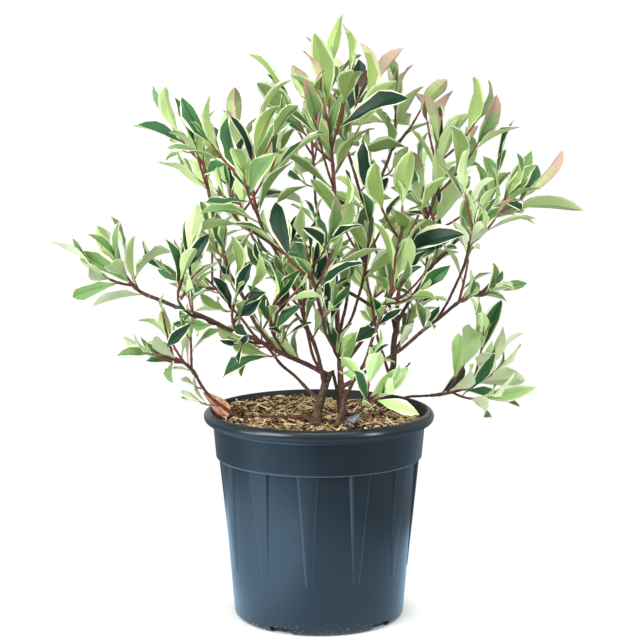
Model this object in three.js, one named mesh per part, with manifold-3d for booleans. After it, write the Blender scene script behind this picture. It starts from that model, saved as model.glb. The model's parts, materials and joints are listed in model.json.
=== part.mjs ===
// A variegated photinia shrub in a five-litre nursery pot, in millimetres, +Z up.
// The origin is the middle of the pot's flat underside, and -Y is the side it is seen from.
import * as THREE from "three";
import { mergeVertices } from "three/addons/utils/BufferGeometryUtils.js";
import Module from "manifold-3d";

// Pot: radii are of the outer skin, heights are from the ground
const POT_HEIGHT = 205;
const POT_SIDES = 48;
const RIM_RADIUS = 113;
const LIP_HEIGHT = 15.5;
const COLLAR_TOP_RADIUS = 104.2;
const COLLAR_FOOT_RADIUS = 101.3;
const COLLAR_FOOT = 158;
const BODY_TOP_RADIUS = 96.4;
const BODY_FOOT_RADIUS = 84;
const FOOT_ROUNDING = 5;
const POT_WALL = 2.2;
const POT_FLOOR = 3;
const LEDGE_SLOPE = 0.8;
const LIP_ROLL = 3.6;
const LIP_ROLL_START = THREE.MathUtils.degToRad(-45);
const LIP_STEPS = 5;
const FOOT_STEPS = 2;

// Ribs: raised wedges below the collar that fade out towards the foot
const RIB_COUNT = 12;
const RIB_FIRST_TURN = THREE.MathUtils.degToRad(-6.1);
const RIB_FOOT = 50;
const RIB_TOP = { face: 15, base: 21, rise: 2.2 };
const RIB_END = { face: 5, base: 8, rise: 0.4 };
const RIB_SUNK = 1.1;

// Drain slots in the pot's bottom edge
const DRAIN_COUNT = 5;
const DRAIN_FIRST_TURN = THREE.MathUtils.degToRad(-26);
const DRAIN_SIZE = { deep: 16, wide: 23, high: 6 };

// Potting mix, and the gap that touching pieces keep
const MIX_LEVEL = 194;
const GAP = 0.3;
const SHORTEST_EDGE = 0.05;
const SAME_SPOT = 1e-3;

// Limbs: sides and rings of the tapering solids, and the flare where a stem leaves the mix
const LIMB_SIDES = 5;
const LIMB_RINGS = 6;
const TWIG_SIDES = 3;
const STEM_RINGS = 4;
const TWIG_RINGS = 2;
const FLARE = 0.55;
const BOUGH_FLARE = 0.2;
const FLARE_REACH = 0.1;
const STEM_SUNK = 8;
const NEAR_PARALLEL = 0.8;

// Stems leave the mix at foot [x, y]. Boughs leave a parent limb at a share of its length.
// tip is where a limb ends, bow is how far its middle lies off the straight line,
// and radius is at its two ends.
const LIMBS = {
  trunk: { foot: [1, -38], tip: [12, -22, 246], bow: [-6, 0, 0], radius: [5.8, 5] },
  leader: { foot: [25, -24], tip: [15, 6, 405], bow: [-2, 0, 0], radius: [4.6, 2.2] },
  rear_stem: { foot: [56, 58], tip: [78, 42, 294], bow: [6, 0, 0], radius: [4, 3.2] },
  low_left_stem: { foot: [-14, -8], tip: [-118, -22, 240], bow: [-14, 0, -12], radius: [3, 2] },
  low_right_stem: { foot: [48, 40], tip: [112, 44, 210], bow: [-6, 4, 4], radius: [2.6, 1.8] },
  far_left: { parent: "trunk", at: 0.93, tip: [-162, -28, 320], bow: [0, 0, 3], radius: [3.2, 1.9] },
  upper_left: { parent: "far_left", at: 0.31, tip: [-107, 25, 410], bow: [-8, 0, -6], radius: [2.6, 1.7] },
  left_inner: { parent: "trunk", at: 0.8, tip: [-47, -75, 380], bow: [3, 2, 6], radius: [2.6, 1.7] },
  crossing: { parent: "rear_stem", at: 0.95, tip: [-71, -4, 385], bow: [6, 2, -8], radius: [2.5, 1.6] },
  right_main: { parent: "leader", at: 0.28, tip: [110, 28, 400], bow: [5, 0, -6], radius: [2.8, 1.8] },
  far_right: { parent: "rear_stem", at: 0.9, tip: [156, 20, 385], bow: [0, 0, 14], radius: [2.5, 1.7] },
  right_low: { parent: "leader", at: 0.2, tip: [125, -42, 310], bow: [0, 0, -4], radius: [2.5, 1.7] },
  right_fork: { parent: "right_low", at: 0.86, tip: [140, -56, 367], bow: [4, 0, 0], radius: [1.7, 1.5] },
  inner_right: { parent: "leader", at: 0.4, tip: [67, 62, 440], bow: [-4, 4, 4], radius: [2.2, 1.6] },
  inner_cross: { parent: "rear_stem", at: 0.78, tip: [29, 66, 453], bow: [3, -4, 0], radius: [2.2, 1.6] },
  mid_left: { parent: "far_left", at: 0.62, tip: [-126, -72, 314], bow: [0, 0, -3], radius: [1.9, 1.5] },
  front_left: { parent: "far_left", at: 0.38, tip: [-76, -66, 291], bow: [0, -3, -4], radius: [1.9, 1.5] },
  front_shoot: { parent: "leader", at: 0.08, tip: [43, -62, 221], bow: [4, 0, -2], radius: [2, 1.5] },
  centre_front: { parent: "leader", at: 0.33, tip: [-1, -90, 324], bow: [0, -6, -8], radius: [2, 1.5] },
  centre_right: { parent: "right_main", at: 0.45, tip: [73, -57, 356], bow: [0, -4, -4], radius: [2, 1.5] },
  low_centre_left: { parent: "far_left", at: 0.2, tip: [-40, -66, 284], bow: [2, -4, -4], radius: [2, 1.5] },
  low_centre_right: { parent: "leader", at: 0.14, tip: [57, -85, 307], bow: [0, -6, -6], radius: [2, 1.5] },
  centre: { parent: "leader", at: 0.42, tip: [41, -18, 328], bow: [2, 0, -3], radius: [2, 1.5] },
  middle: { parent: "trunk", at: 0.88, tip: [-12, -16, 286], bow: [-2, 2, -3], radius: [2, 1.5] },
  rear_left: { parent: "left_inner", at: 0.3, tip: [-75, 95, 385], bow: [-6, 6, 0], radius: [2, 1.5] },
  rear_middle: { parent: "leader", at: 0.56, tip: [-5, 105, 430], bow: [-4, 6, 0], radius: [2, 1.5] },
  rear_right: { parent: "rear_stem", at: 0.62, tip: [112, 108, 345], bow: [6, 6, -6], radius: [2.2, 1.5] },
  rear_low_left: { parent: "trunk", at: 0.55, tip: [-95, 90, 300], bow: [0, 8, -6], radius: [2.2, 1.5] },
  rear_low_right: { parent: "rear_stem", at: 0.42, tip: [58, 120, 275], bow: [0, 6, -6], radius: [2, 1.5] },
};

// Foliage: each mass grows on from the tip of the limb of the same name, up to its own tip.
// twigs is how many side twigs its stem has, spread is how long they are,
// and leaf is the size of its leaves as a share of the usual one.
const MASSES = {
  leader: { name: "top", tip: [4, 10, 509], twigs: 5, spread: 60, leaf: 1.08 },
  upper_left: { tip: [-117, 34, 462], twigs: 3, spread: 42, leaf: 0.82 },
  left_inner: { name: "upper_left_front", tip: [-54, -86, 488], twigs: 4, spread: 46, leaf: 0.98 },
  crossing: { name: "left_middle", tip: [-91, -10, 415], twigs: 2, spread: 38, leaf: 1.1 },
  far_left: { tip: [-188, -30, 344], twigs: 3, spread: 38, leaf: 0.86 },
  mid_left: { tip: [-124, -92, 351], twigs: 2, spread: 32, leaf: 0.8 },
  front_left: { tip: [-77, -90, 326], twigs: 2, spread: 30, leaf: 0.74 },
  low_left_stem: { name: "low_left", tip: [-158, -30, 264], twigs: 4, spread: 36, leaf: 0.64 },
  inner_right: { name: "upper_right", tip: [76, 70, 514], twigs: 3, spread: 42, leaf: 0.86 },
  right_main: { name: "right", tip: [117, 38, 472], twigs: 4, spread: 48, leaf: 1 },
  far_right: { tip: [178, 10, 406], twigs: 3, spread: 38, leaf: 1.02 },
  right_low: { name: "right_middle", tip: [166, -50, 330], twigs: 2, spread: 30, leaf: 0.66 },
  right_fork: { tip: [148, -60, 396], twigs: 2, spread: 32, leaf: 0.8 },
  low_right_stem: { name: "low_right", tip: [172, 22, 236], twigs: 4, spread: 42, leaf: 0.94 },
  front_shoot: { tip: [54, -74, 232], twigs: 2, spread: 24, leaf: 0.78 },
  inner_cross: { name: "upper_middle", tip: [17, 72, 492], twigs: 3, spread: 40, leaf: 0.9 },
  middle: { tip: [-14, -22, 328], twigs: 3, spread: 36, leaf: 0.84 },
  rear_stem: { name: "rear_inner", tip: [92, 66, 348], twigs: 3, spread: 40, leaf: 0.9 },
  centre: { tip: [46, -30, 380], twigs: 3, spread: 38, leaf: 0.96 },
  centre_front: { tip: [-12, -112, 378], twigs: 3, spread: 42, leaf: 0.96 },
  centre_right: { tip: [77, -78, 411], twigs: 3, spread: 42, leaf: 0.96 },
  low_centre_left: { tip: [-36, -95, 332], twigs: 3, spread: 34, leaf: 0.8 },
  low_centre_right: { tip: [70, -108, 337], twigs: 3, spread: 36, leaf: 0.84 },
  rear_left: { tip: [-95, 125, 432], twigs: 4, spread: 46, leaf: 0.96 },
  rear_middle: { tip: [-10, 140, 478], twigs: 4, spread: 46, leaf: 0.96 },
  rear_right: { tip: [130, 128, 392], twigs: 4, spread: 44, leaf: 0.96 },
  rear_low_left: { tip: [-122, 104, 327], twigs: 3, spread: 42, leaf: 0.9 },
  rear_low_right: { tip: [66, 146, 317], twigs: 3, spread: 40, leaf: 0.9 },
};

// Growth rule for twigs: where they leave a stem, their angles in degrees and their sizes
const GOLDEN_TURN = THREE.MathUtils.degToRad(137.5);
const TWIG_STEM_SHARE = [0.12, 0.7];
const TWIG_JITTER = [0.2, 0.8];
const TWIG_ANGLE = [38, 56];
const TWIG_LIFT = 0.3;
const TWIG_BEND = 0.55;
const TWIG_LENGTH_SHARE = [1.1, 0.8];
const TWIG_LENGTH_SWING = [0.85, 1.15];
const TWIG_RADIUS = [1.3, 0.95];
const STEM_FOOT_RADIUS = 2.2;
const STEM_TIP_RADIUS = 1.05;

// Growth rule for leaves: their places along a twig, their angles in degrees and their sizes
const LEAF_SPACING = 9;
const FEWEST_LEAVES = 4;
const FIRST_LEAF = { stem: 0.14, twig: 0.3 };
const LAST_LEAF = 0.96;
const CROWDING = 1.15;
const LEAF_ANGLE = [70, 16];
const LEAF_ANGLE_SWING = 10;
const LEAF_LIFT = 0.12;
const LEAF_ROLL = 24;
const LEAF_LENGTH = 60;
const LEAF_LENGTH_SWING = [0.8, 1.12];
const LEAF_TIP_SHARE = 0.9;

// Leaf: its width and thickness, where it is widest, its fold and its curl, as shares
const LEAF_WIDTH_SHARE = 0.35;
const LEAF_WIDEST = 0.6;
const LEAF_THICKNESS_SHARE = 0.018;
const LEAF_FOLD = 0.16;
const LEAF_CURL = 0.05;

// Clearances: how near a leaf's spots may come to other limbs and leaves
const LIMB_CLEARANCE = 3.7;
const LEAF_CLEARANCE = 6;
const OWN_CLEARANCE = 5;
const OWN_SHARE = 0.3;
const POT_CLEARANCE = 3;
const SPOT_STEP = 4;
const OWN_BOUGH_END = 8;
const MIDRIB_SPOTS = [0.2, 0.34, 0.48, 0.62, 0.76, 0.9, 1];
const SIDE_SPOTS = [0.4, 0.55, 0.7, 0.85];
const SIDE_OUT = 0.42;

// A dry leaf that has dropped on the mix and stands up against the pot's wall
const DRY_LEAF = { foot: [-97, -12], length: 34, turn: 180, tilt: 52, roll: 24 };

// Seeded dice: a linear congruential row of numbers
const DICE = { scatter: 2654435761, factor: 1664525, step: 1013904223, range: 2 ** 32 };

const wasm = await Module();
wasm.setup();
const UP = new THREE.Vector3(0, 0, 1);
const lerp = THREE.MathUtils.lerp;
const radians = THREE.MathUtils.degToRad;

const POT_MATERIAL = new THREE.MeshStandardMaterial({ color: 0x3c4b5a, roughness: 0.42 });
const MIX_MATERIAL = new THREE.MeshStandardMaterial({ color: 0x7d5f3a, roughness: 0.95 });
const WOOD_MATERIAL = new THREE.MeshStandardMaterial({ color: 0x5c3c32, roughness: 0.8 });
const LEAF_MATERIAL = new THREE.MeshStandardMaterial({ color: 0x7e9c5c, roughness: 0.5 });
const DRY_LEAF_MATERIAL = new THREE.MeshStandardMaterial({ color: 0xa8663a, roughness: 0.8 });

// Seeded numbers that are the same on every run
function makeDice(seed) {
  let state = (seed * DICE.scatter) % DICE.range;
  return (low, high) => {
    state = (state * DICE.factor + DICE.step) % DICE.range;
    return lerp(low, high, state / DICE.range);
  };
}

// Merges the vertices that share a spot and drops the faces that vanish with that
function welded(geometry) {
  geometry.deleteAttribute("normal");
  geometry.deleteAttribute("uv");
  const merged = mergeVertices(geometry, SAME_SPOT);
  const index = merged.index.array;
  const faces = [];
  for (let i = 0; i < index.length; i += 3) {
    const [a, b, c] = index.slice(i, i + 3);
    if (a !== b && b !== c && c !== a) faces.push(a, b, c);
  }
  return merged.setIndex(faces);
}

// A closed three.js geometry as a solid that can be joined and cut
function solidOf(geometry) {
  const closed = welded(geometry);
  const vertProperties = new Float32Array(closed.attributes.position.array);
  const triVerts = new Uint32Array(closed.index.array);
  return new wasm.Manifold(new wasm.Mesh({ numProp: 3, vertProperties, triVerts }));
}

function geometryOf(solid) {
  const mesh = solid.getMesh();
  const geometry = new THREE.BufferGeometry();
  geometry.setAttribute("position", new THREE.BufferAttribute(mesh.vertProperties, 3));
  geometry.setIndex(new THREE.BufferAttribute(mesh.triVerts, 1));
  return welded(geometry);
}

// Tells whether each edge of a solid still belongs to just two faces when it is welded
function isSound(solid) {
  const index = geometryOf(solid).index.array;
  const edges = new Map();
  for (let i = 0; i < index.length; i++) {
    const next = i % 3 === 2 ? i - 2 : i + 1;
    const edge = [index[i], index[next]].sort().join();
    edges.set(edge, (edges.get(edge) ?? 0) + 1);
  }
  return [...edges.values()].every((faces) => faces === 2);
}

function namedMesh(name, solid, material) {
  const geometry = geometryOf(solid);
  geometry.computeVertexNormals();
  const mesh = new THREE.Mesh(geometry, material);
  mesh.name = name;
  return mesh;
}

// Moves every vertex of a geometry to where the given function puts it
function reshape(geometry, move) {
  const spots = geometry.attributes.position;
  const vertex = new THREE.Vector3();
  for (let i = 0; i < spots.count; i++) {
    vertex.fromBufferAttribute(spots, i);
    const moved = move(vertex);
    spots.setXYZ(i, moved.x, moved.y, moved.z);
  }
  return geometry;
}

function lathe(profile) {
  const points = profile.map(([radius, height]) => new THREE.Vector2(radius, height));
  return new THREE.LatheGeometry(points, POT_SIDES).rotateX(Math.PI / 2);
}

function bodyRadius(height) {
  const share = (height - FOOT_ROUNDING) / (COLLAR_FOOT - FOOT_ROUNDING);
  return lerp(BODY_FOOT_RADIUS, BODY_TOP_RADIUS, share);
}

// Profile points round an arc, from one angle to another
function arcPoints(radius, height, bend, from, to, steps) {
  const points = [];
  for (let i = 0; i <= steps; i++) {
    const angle = lerp(from, to, i / steps);
    points.push([radius + bend * Math.cos(angle), height + bend * Math.sin(angle)]);
  }
  return points;
}

// The inside of the pot's wall, from its floor up to the lip
function innerWall() {
  const bend = FOOT_ROUNDING - POT_WALL;
  const centre = BODY_FOOT_RADIUS - FOOT_ROUNDING;
  return [
    ...arcPoints(centre, POT_FLOOR + bend, bend, -Math.PI / 2, 0, FOOT_STEPS),
    [BODY_TOP_RADIUS - POT_WALL, COLLAR_FOOT + POT_WALL],
    [COLLAR_FOOT_RADIUS - POT_WALL, COLLAR_FOOT + POT_WALL + LEDGE_SLOPE],
    [COLLAR_TOP_RADIUS - POT_WALL, POT_HEIGHT - LIP_HEIGHT],
    [RIM_RADIUS - 2 * LIP_ROLL, POT_HEIGHT - LIP_ROLL],
  ];
}

// One wedge-shaped rib, sunk into the wall behind it
function ribSolid(turn) {
  const box = new THREE.BoxGeometry(2, 2, 2);
  return solidOf(
    reshape(box, (corner) => {
      const end = corner.z > 0 ? RIB_TOP : RIB_END;
      const height = corner.z > 0 ? COLLAR_FOOT + LEDGE_SLOPE / 2 : RIB_FOOT;
      const outside = corner.y < 0;
      const half = (outside ? end.face : end.base) / 2;
      const radius = bodyRadius(height) + (outside ? end.rise : -RIB_SUNK);
      return new THREE.Vector3(corner.x * half, -radius, height);
    }).rotateZ(turn),
  );
}

function drainSolid(turn) {
  const { deep, wide, high } = DRAIN_SIZE;
  const slot = new THREE.BoxGeometry(wide, deep, 2 * high);
  return solidOf(slot.translate(0, -BODY_FOOT_RADIUS, 0).rotateZ(turn));
}

// A thin shell with a rolled lip, a collar, ribs and drain slots
function potSolid() {
  const foot = BODY_FOOT_RADIUS - FOOT_ROUNDING;
  const roll = RIM_RADIUS - LIP_ROLL;
  const profile = [
    [0, 0],
    ...arcPoints(foot, FOOT_ROUNDING, FOOT_ROUNDING, -Math.PI / 2, 0, FOOT_STEPS),
    [BODY_TOP_RADIUS, COLLAR_FOOT],
    [COLLAR_FOOT_RADIUS, COLLAR_FOOT + LEDGE_SLOPE],
    [COLLAR_TOP_RADIUS, POT_HEIGHT - LIP_HEIGHT],
    ...arcPoints(roll, POT_HEIGHT - LIP_ROLL, LIP_ROLL, LIP_ROLL_START, Math.PI, LIP_STEPS),
    ...innerWall().reverse().slice(1),
    [0, POT_FLOOR],
  ];
  let pot = solidOf(lathe(profile));
  for (let i = 0; i < RIB_COUNT; i++) {
    pot = pot.add(ribSolid(RIB_FIRST_TURN + (i * 2 * Math.PI) / RIB_COUNT));
  }
  for (let i = 0; i < DRAIN_COUNT; i++) {
    pot = pot.subtract(drainSolid(DRAIN_FIRST_TURN + (i * 2 * Math.PI) / DRAIN_COUNT));
  }
  return pot;
}

// Fills the pot to the mix's level, clear of its wall
function mixSolid() {
  const wall = innerWall().map(([radius, height]) => [radius - GAP, height + GAP]);
  const below = wall.filter(([, height]) => height < MIX_LEVEL);
  const [lower, upper] = wall.slice(-2);
  const share = (MIX_LEVEL - lower[1]) / (upper[1] - lower[1]);
  const edge = lerp(lower[0], upper[0], share);
  return solidOf(lathe([[0, POT_FLOOR + GAP], ...below, [edge, MIX_LEVEL], [0, MIX_LEVEL]]));
}

// A bowed line from foot to tip
function bowedCurve(foot, tip, bow) {
  const middle = foot.clone().add(tip).multiplyScalar(0.5).addScaledVector(bow, 2);
  return new THREE.QuadraticBezierCurve3(foot, middle, tip);
}

// A tapering solid along a curve, grown by the given amount all over
function taperedSolid(limb, sides, grow = 0) {
  const { curve, rings, radiusAt } = limb;
  const chord = curve.v2.clone().sub(curve.v0).normalize();
  const guide = Math.abs(chord.y) > NEAR_PARALLEL ? new THREE.Vector3(1, 0, 0) : new THREE.Vector3(0, 1, 0);
  const grownRing = grow / Math.cos(Math.PI / sides);
  const tube = new THREE.CylinderGeometry(1, 1, 1, sides, rings);
  return solidOf(
    reshape(tube, (vertex) => {
      const share = vertex.y + 0.5;
      const along = curve.getTangent(share);
      const side = new THREE.Vector3().crossVectors(along, guide).normalize();
      const across = new THREE.Vector3().crossVectors(side, along);
      const radius = radiusAt(share) + grownRing;
      const end = share === 1 ? grow : share === 0 ? -grow : 0;
      return curve
        .getPoint(share)
        .addScaledVector(along, end)
        .addScaledVector(side, vertex.x * radius)
        .addScaledVector(across, vertex.z * radius);
    }),
  );
}

// Works out every limb's curve, parents before their boughs
function growLimbs() {
  const limbs = {};
  for (const [name, size] of Object.entries(LIMBS)) {
    const tip = new THREE.Vector3(...size.tip);
    const rooted = size.parent === undefined;
    const foot = rooted
      ? new THREE.Vector3(...size.foot, MIX_LEVEL - STEM_SUNK)
      : limbs[size.parent].curve.getPoint(size.at);
    const [footRadius, tipRadius] = size.radius;
    const flare = rooted ? FLARE : BOUGH_FLARE;
    limbs[name] = {
      rings: LIMB_RINGS,
      curve: bowedCurve(foot, tip, new THREE.Vector3(...size.bow)),
      radiusAt: (share) => {
        const flaring = 1 + flare * Math.exp(-share / FLARE_REACH);
        return flaring * lerp(footRadius, tipRadius, share);
      },
    };
  }
  return limbs;
}

// Each limb is cut clear of the mix below it and of the limbs before it
function limbSolids(limbs) {
  const depth = 2 * STEM_SUNK;
  const block = new THREE.BoxGeometry(2 * RIM_RADIUS, 2 * RIM_RADIUS, 2 * depth);
  const ground = solidOf(block.translate(0, 0, MIX_LEVEL + GAP - depth));
  const solids = {};
  const grown = [];
  for (const [name, limb] of Object.entries(limbs)) {
    let solid = taperedSolid(limb, LIMB_SIDES);
    if (LIMBS[name].parent === undefined) solid = solid.subtract(ground);
    for (const other of grown) solid = solid.subtract(other);
    solids[name] = largestBody(solid);
    grown.push(taperedSolid(limb, LIMB_SIDES, GAP));
  }
  return solids;
}

function largestBody(solid) {
  const bodies = solid.decompose();
  return bodies.reduce((best, body) => (body.volume() > best.volume() ? body : best));
}

// A place on a limb's axis, which runs straight from ring to ring
function axisPlace(limb, share) {
  const ring = Math.min(Math.floor(share * limb.rings), limb.rings - 1);
  const start = limb.curve.getPoint(ring / limb.rings);
  return start.lerp(limb.curve.getPoint((ring + 1) / limb.rings), share * limb.rings - ring);
}

// Spots along a limb, each with the radius there
function limbSpots(limb) {
  const count = Math.ceil(limb.curve.v0.distanceTo(limb.curve.v2) / SPOT_STEP);
  const spots = [];
  for (let i = 0; i <= count; i++) {
    spots.push({ place: axisPlace(limb, i / count), radius: limb.radiusAt(i / count) });
  }
  return spots;
}

// A direction at an angle to an axis, at a turn round it
function leaning(axis, angle, turn) {
  const guide = Math.abs(axis.z) > NEAR_PARALLEL ? new THREE.Vector3(1, 0, 0) : UP;
  const side = new THREE.Vector3().crossVectors(axis, guide).normalize();
  const across = new THREE.Vector3().crossVectors(axis, side);
  return axis
    .clone()
    .multiplyScalar(Math.cos(angle))
    .addScaledVector(side, Math.sin(angle) * Math.cos(turn))
    .addScaledVector(across, Math.sin(angle) * Math.sin(turn));
}

function linearRadius(foot, tip) {
  return (share) => lerp(foot, tip, share);
}

// A mass's stem runs on from its bough's tip, and its side twigs turn up towards the light
function growTwigs(bough, size, dice) {
  const along = bough.curve.getTangent(1);
  const foot = bough.curve.v2.clone().addScaledVector(along, GAP);
  const tip = new THREE.Vector3(...size.tip);
  const middle = foot.clone().addScaledVector(along, foot.distanceTo(tip) / 2);
  const footRadius = Math.min(bough.radiusAt(1), STEM_FOOT_RADIUS);
  const stem = {
    curve: new THREE.QuadraticBezierCurve3(foot, middle, tip),
    radiusAt: (share) => lerp(footRadius, STEM_TIP_RADIUS, share),
    rings: STEM_RINGS,
    firstLeaf: FIRST_LEAF.stem,
    turn: dice(0, 2 * Math.PI),
  };
  const twigs = [stem];
  for (let i = 0; i < size.twigs; i++) {
    const share = lerp(...TWIG_STEM_SHARE, (i + dice(...TWIG_JITTER)) / size.twigs);
    const angle = radians(dice(...TWIG_ANGLE));
    const start = axisPlace(stem, share);
    const aim = leaning(stem.curve.getTangent(share), angle, stem.turn + (i + 0.5) * GOLDEN_TURN);
    const length = size.spread * lerp(...TWIG_LENGTH_SHARE, share) * dice(...TWIG_LENGTH_SWING);
    const bend = start.clone().addScaledVector(aim, length * TWIG_BEND);
    const end = start.clone().addScaledVector(aim, length).addScaledVector(UP, length * TWIG_LIFT);
    twigs.push({
      curve: new THREE.QuadraticBezierCurve3(start, bend, end),
      radiusAt: (twigShare) => lerp(...TWIG_RADIUS, twigShare),
      rings: TWIG_RINGS,
      firstLeaf: FIRST_LEAF.twig,
      turn: dice(0, 2 * Math.PI),
    });
  }
  return twigs;
}

// Leaves crowd towards a twig's tip, where they stand up along it
function growLeaves(twig, leafSize, dice) {
  const leaves = [];
  const leafyLength = twig.curve.v0.distanceTo(twig.curve.v2) * (LAST_LEAF - twig.firstLeaf);
  const count = Math.max(FEWEST_LEAVES, Math.round(leafyLength / (LEAF_SPACING * leafSize)));
  for (let i = count - 1; i >= 0; i--) {
    const rank = i / (count - 1);
    const share = lerp(twig.firstLeaf, LAST_LEAF, 1 - (1 - rank) ** CROWDING);
    const stemWay = twig.curve.getTangent(share);
    const swing = dice(-LEAF_ANGLE_SWING, LEAF_ANGLE_SWING);
    const angle = radians(lerp(...LEAF_ANGLE, rank) + swing);
    const way = leaning(stemWay, angle, twig.turn + i * GOLDEN_TURN);
    way.addScaledVector(UP, LEAF_LIFT).normalize();
    const face = stemWay.clone().addScaledVector(way, -stemWay.dot(way)).normalize();
    face.applyAxisAngle(way, radians(dice(-LEAF_ROLL, LEAF_ROLL)));
    const length = LEAF_LENGTH * leafSize * lerp(1, LEAF_TIP_SHARE, rank) * dice(...LEAF_LENGTH_SWING);
    const across = new THREE.Vector3().crossVectors(way, face);
    leaves.push({ root: axisPlace(twig, share), way, face, across, length });
  }
  return leaves;
}

// A place on a leaf: along its length, out to a side and up off its face, as shares
function leafPlace(leaf, along, out, up) {
  const width = leaf.length * LEAF_WIDTH_SHARE;
  const curl = -LEAF_CURL * leaf.length * (2 * along - 1) ** 2;
  const fold = LEAF_FOLD * width * Math.abs(out) * 2;
  return leaf.root
    .clone()
    .addScaledVector(leaf.way, along * leaf.length)
    .addScaledVector(leaf.across, out * width)
    .addScaledVector(leaf.face, up * leaf.length + curl + fold + LEAF_CURL * leaf.length);
}

// Spots over a leaf's blade, for telling how near it comes to other things
function leafSpots(leaf) {
  const midrib = MIDRIB_SPOTS.map((along) => leafPlace(leaf, along, 0, 0));
  const sides = SIDE_SPOTS.flatMap((along) => [
    leafPlace(leaf, along, -SIDE_OUT, 0),
    leafPlace(leaf, along, SIDE_OUT, 0),
  ]);
  return [...midrib, ...sides];
}

// A thin blade of eight faces, widest past its middle and folded along its midrib
function leafSolid(leaf) {
  const blade = new THREE.OctahedronGeometry(1);
  return solidOf(
    reshape(blade, ({ x, y, z }) => {
      if (Math.abs(y) > 0.5) return leafPlace(leaf, LEAF_WIDEST, 0, (y * LEAF_THICKNESS_SHARE) / 2);
      if (Math.abs(z) > 0.5) return leafPlace(leaf, LEAF_WIDEST, z / 2, 0);
      return leafPlace(leaf, x > 0 ? 1 : 0, 0, 0);
    }),
  );
}

function nearAny(spots, others, clearance) {
  return spots.some((spot) =>
    others.some((other) => spot.distanceToSquared(other.place) < (clearance + other.radius) ** 2),
  );
}

function meetsPot(spot) {
  const low = spot.z < POT_HEIGHT + POT_CLEARANCE;
  return low && Math.hypot(spot.x, spot.y) < RIM_RADIUS + POT_CLEARANCE;
}

// Grows every mass in turn.
// A twig or leaf that would touch a limb, the pot or another mass is skipped.
function growMasses(limbs) {
  const taken = Object.entries(limbs).flatMap(([name, limb]) =>
    limbSpots(limb).map((spot) => ({ ...spot, owner: name })),
  );
  const masses = {};
  Object.entries(MASSES).forEach(([boughName, size], number) => {
    const dice = makeDice(number + 1);
    const bough = limbs[boughName];
    const others = taken.filter(
      ({ place, owner }) => owner !== boughName || place.distanceTo(bough.curve.v2) > OWN_BOUGH_END,
    );
    const twigs = [];
    const leaves = [];
    const own = [];
    for (const twig of growTwigs(bough, size, dice)) {
      const grown = growLeaves(twig, size.leaf, dice);
      const twigPlaces = limbSpots(twig).map(({ place }) => place);
      if (twigs.length > 0 && nearAny(twigPlaces.slice(2), others, LIMB_CLEARANCE)) continue;
      twigs.push(twig);
      for (const leaf of grown) {
        const spots = leafSpots(leaf);
        const outer = spots.filter((spot) => spot.distanceTo(leaf.root) > leaf.length * OWN_SHARE);
        if (spots.some(meetsPot) || nearAny(spots, others, LIMB_CLEARANCE)) continue;
        if (nearAny(outer, own, OWN_CLEARANCE)) continue;
        leaves.push(leaf);
        own.push(...outer.map((place) => ({ place, radius: 0 })));
      }
    }
    const bladeRadius = LEAF_CLEARANCE - LIMB_CLEARANCE;
    const blades = leaves.flatMap(leafSpots).map((place) => ({ place, radius: bladeRadius }));
    taken.push(...twigs.flatMap(limbSpots), ...blades);
    masses[size.name ?? boughName] = { twigs, leaves };
  });
  return masses;
}

// Joins twigs and leaves to their stem, but for a piece that would pinch the solid
function massSolid({ twigs, leaves }) {
  const [stem, ...side] = twigs.map((twig) => taperedSolid(twig, TWIG_SIDES));
  return [...side, ...leaves.map(leafSolid)].reduce((whole, piece) => {
    const joined = whole.add(piece).simplify(SHORTEST_EDGE);
    return isSound(joined) ? joined : whole;
  }, stem);
}

function dryLeafSolid() {
  const { foot, length, turn, tilt, roll } = DRY_LEAF;
  const root = new THREE.Vector3(...foot, MIX_LEVEL + GAP);
  const way = new THREE.Vector3(Math.cos(radians(tilt)), 0, Math.sin(radians(tilt)));
  way.applyAxisAngle(UP, radians(turn));
  const face = UP.clone().addScaledVector(way, -way.z).normalize();
  face.applyAxisAngle(way, radians(roll));
  const across = new THREE.Vector3().crossVectors(way, face);
  return leafSolid({ root, way, face, across, length });
}

function buildPlant() {
  const plant = new THREE.Group();
  plant.add(namedMesh("pot", potSolid(), POT_MATERIAL));
  plant.add(namedMesh("potting_mix", mixSolid(), MIX_MATERIAL));
  plant.add(namedMesh("dry_leaf", dryLeafSolid(), DRY_LEAF_MATERIAL));
  const limbs = growLimbs();
  for (const [name, solid] of Object.entries(limbSolids(limbs))) {
    const rooted = LIMBS[name].parent === undefined;
    plant.add(namedMesh(rooted ? name : `bough_${name}`, solid, WOOD_MATERIAL));
  }
  for (const [name, mass] of Object.entries(growMasses(limbs))) {
    plant.add(namedMesh(`foliage_${name}`, massSolid(mass), LEAF_MATERIAL));
  }
  return plant;
}

export default buildPlant();
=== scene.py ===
import json
import math
from contextlib import contextmanager

import bpy
import numpy as np
from mathutils import Matrix, Vector

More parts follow.
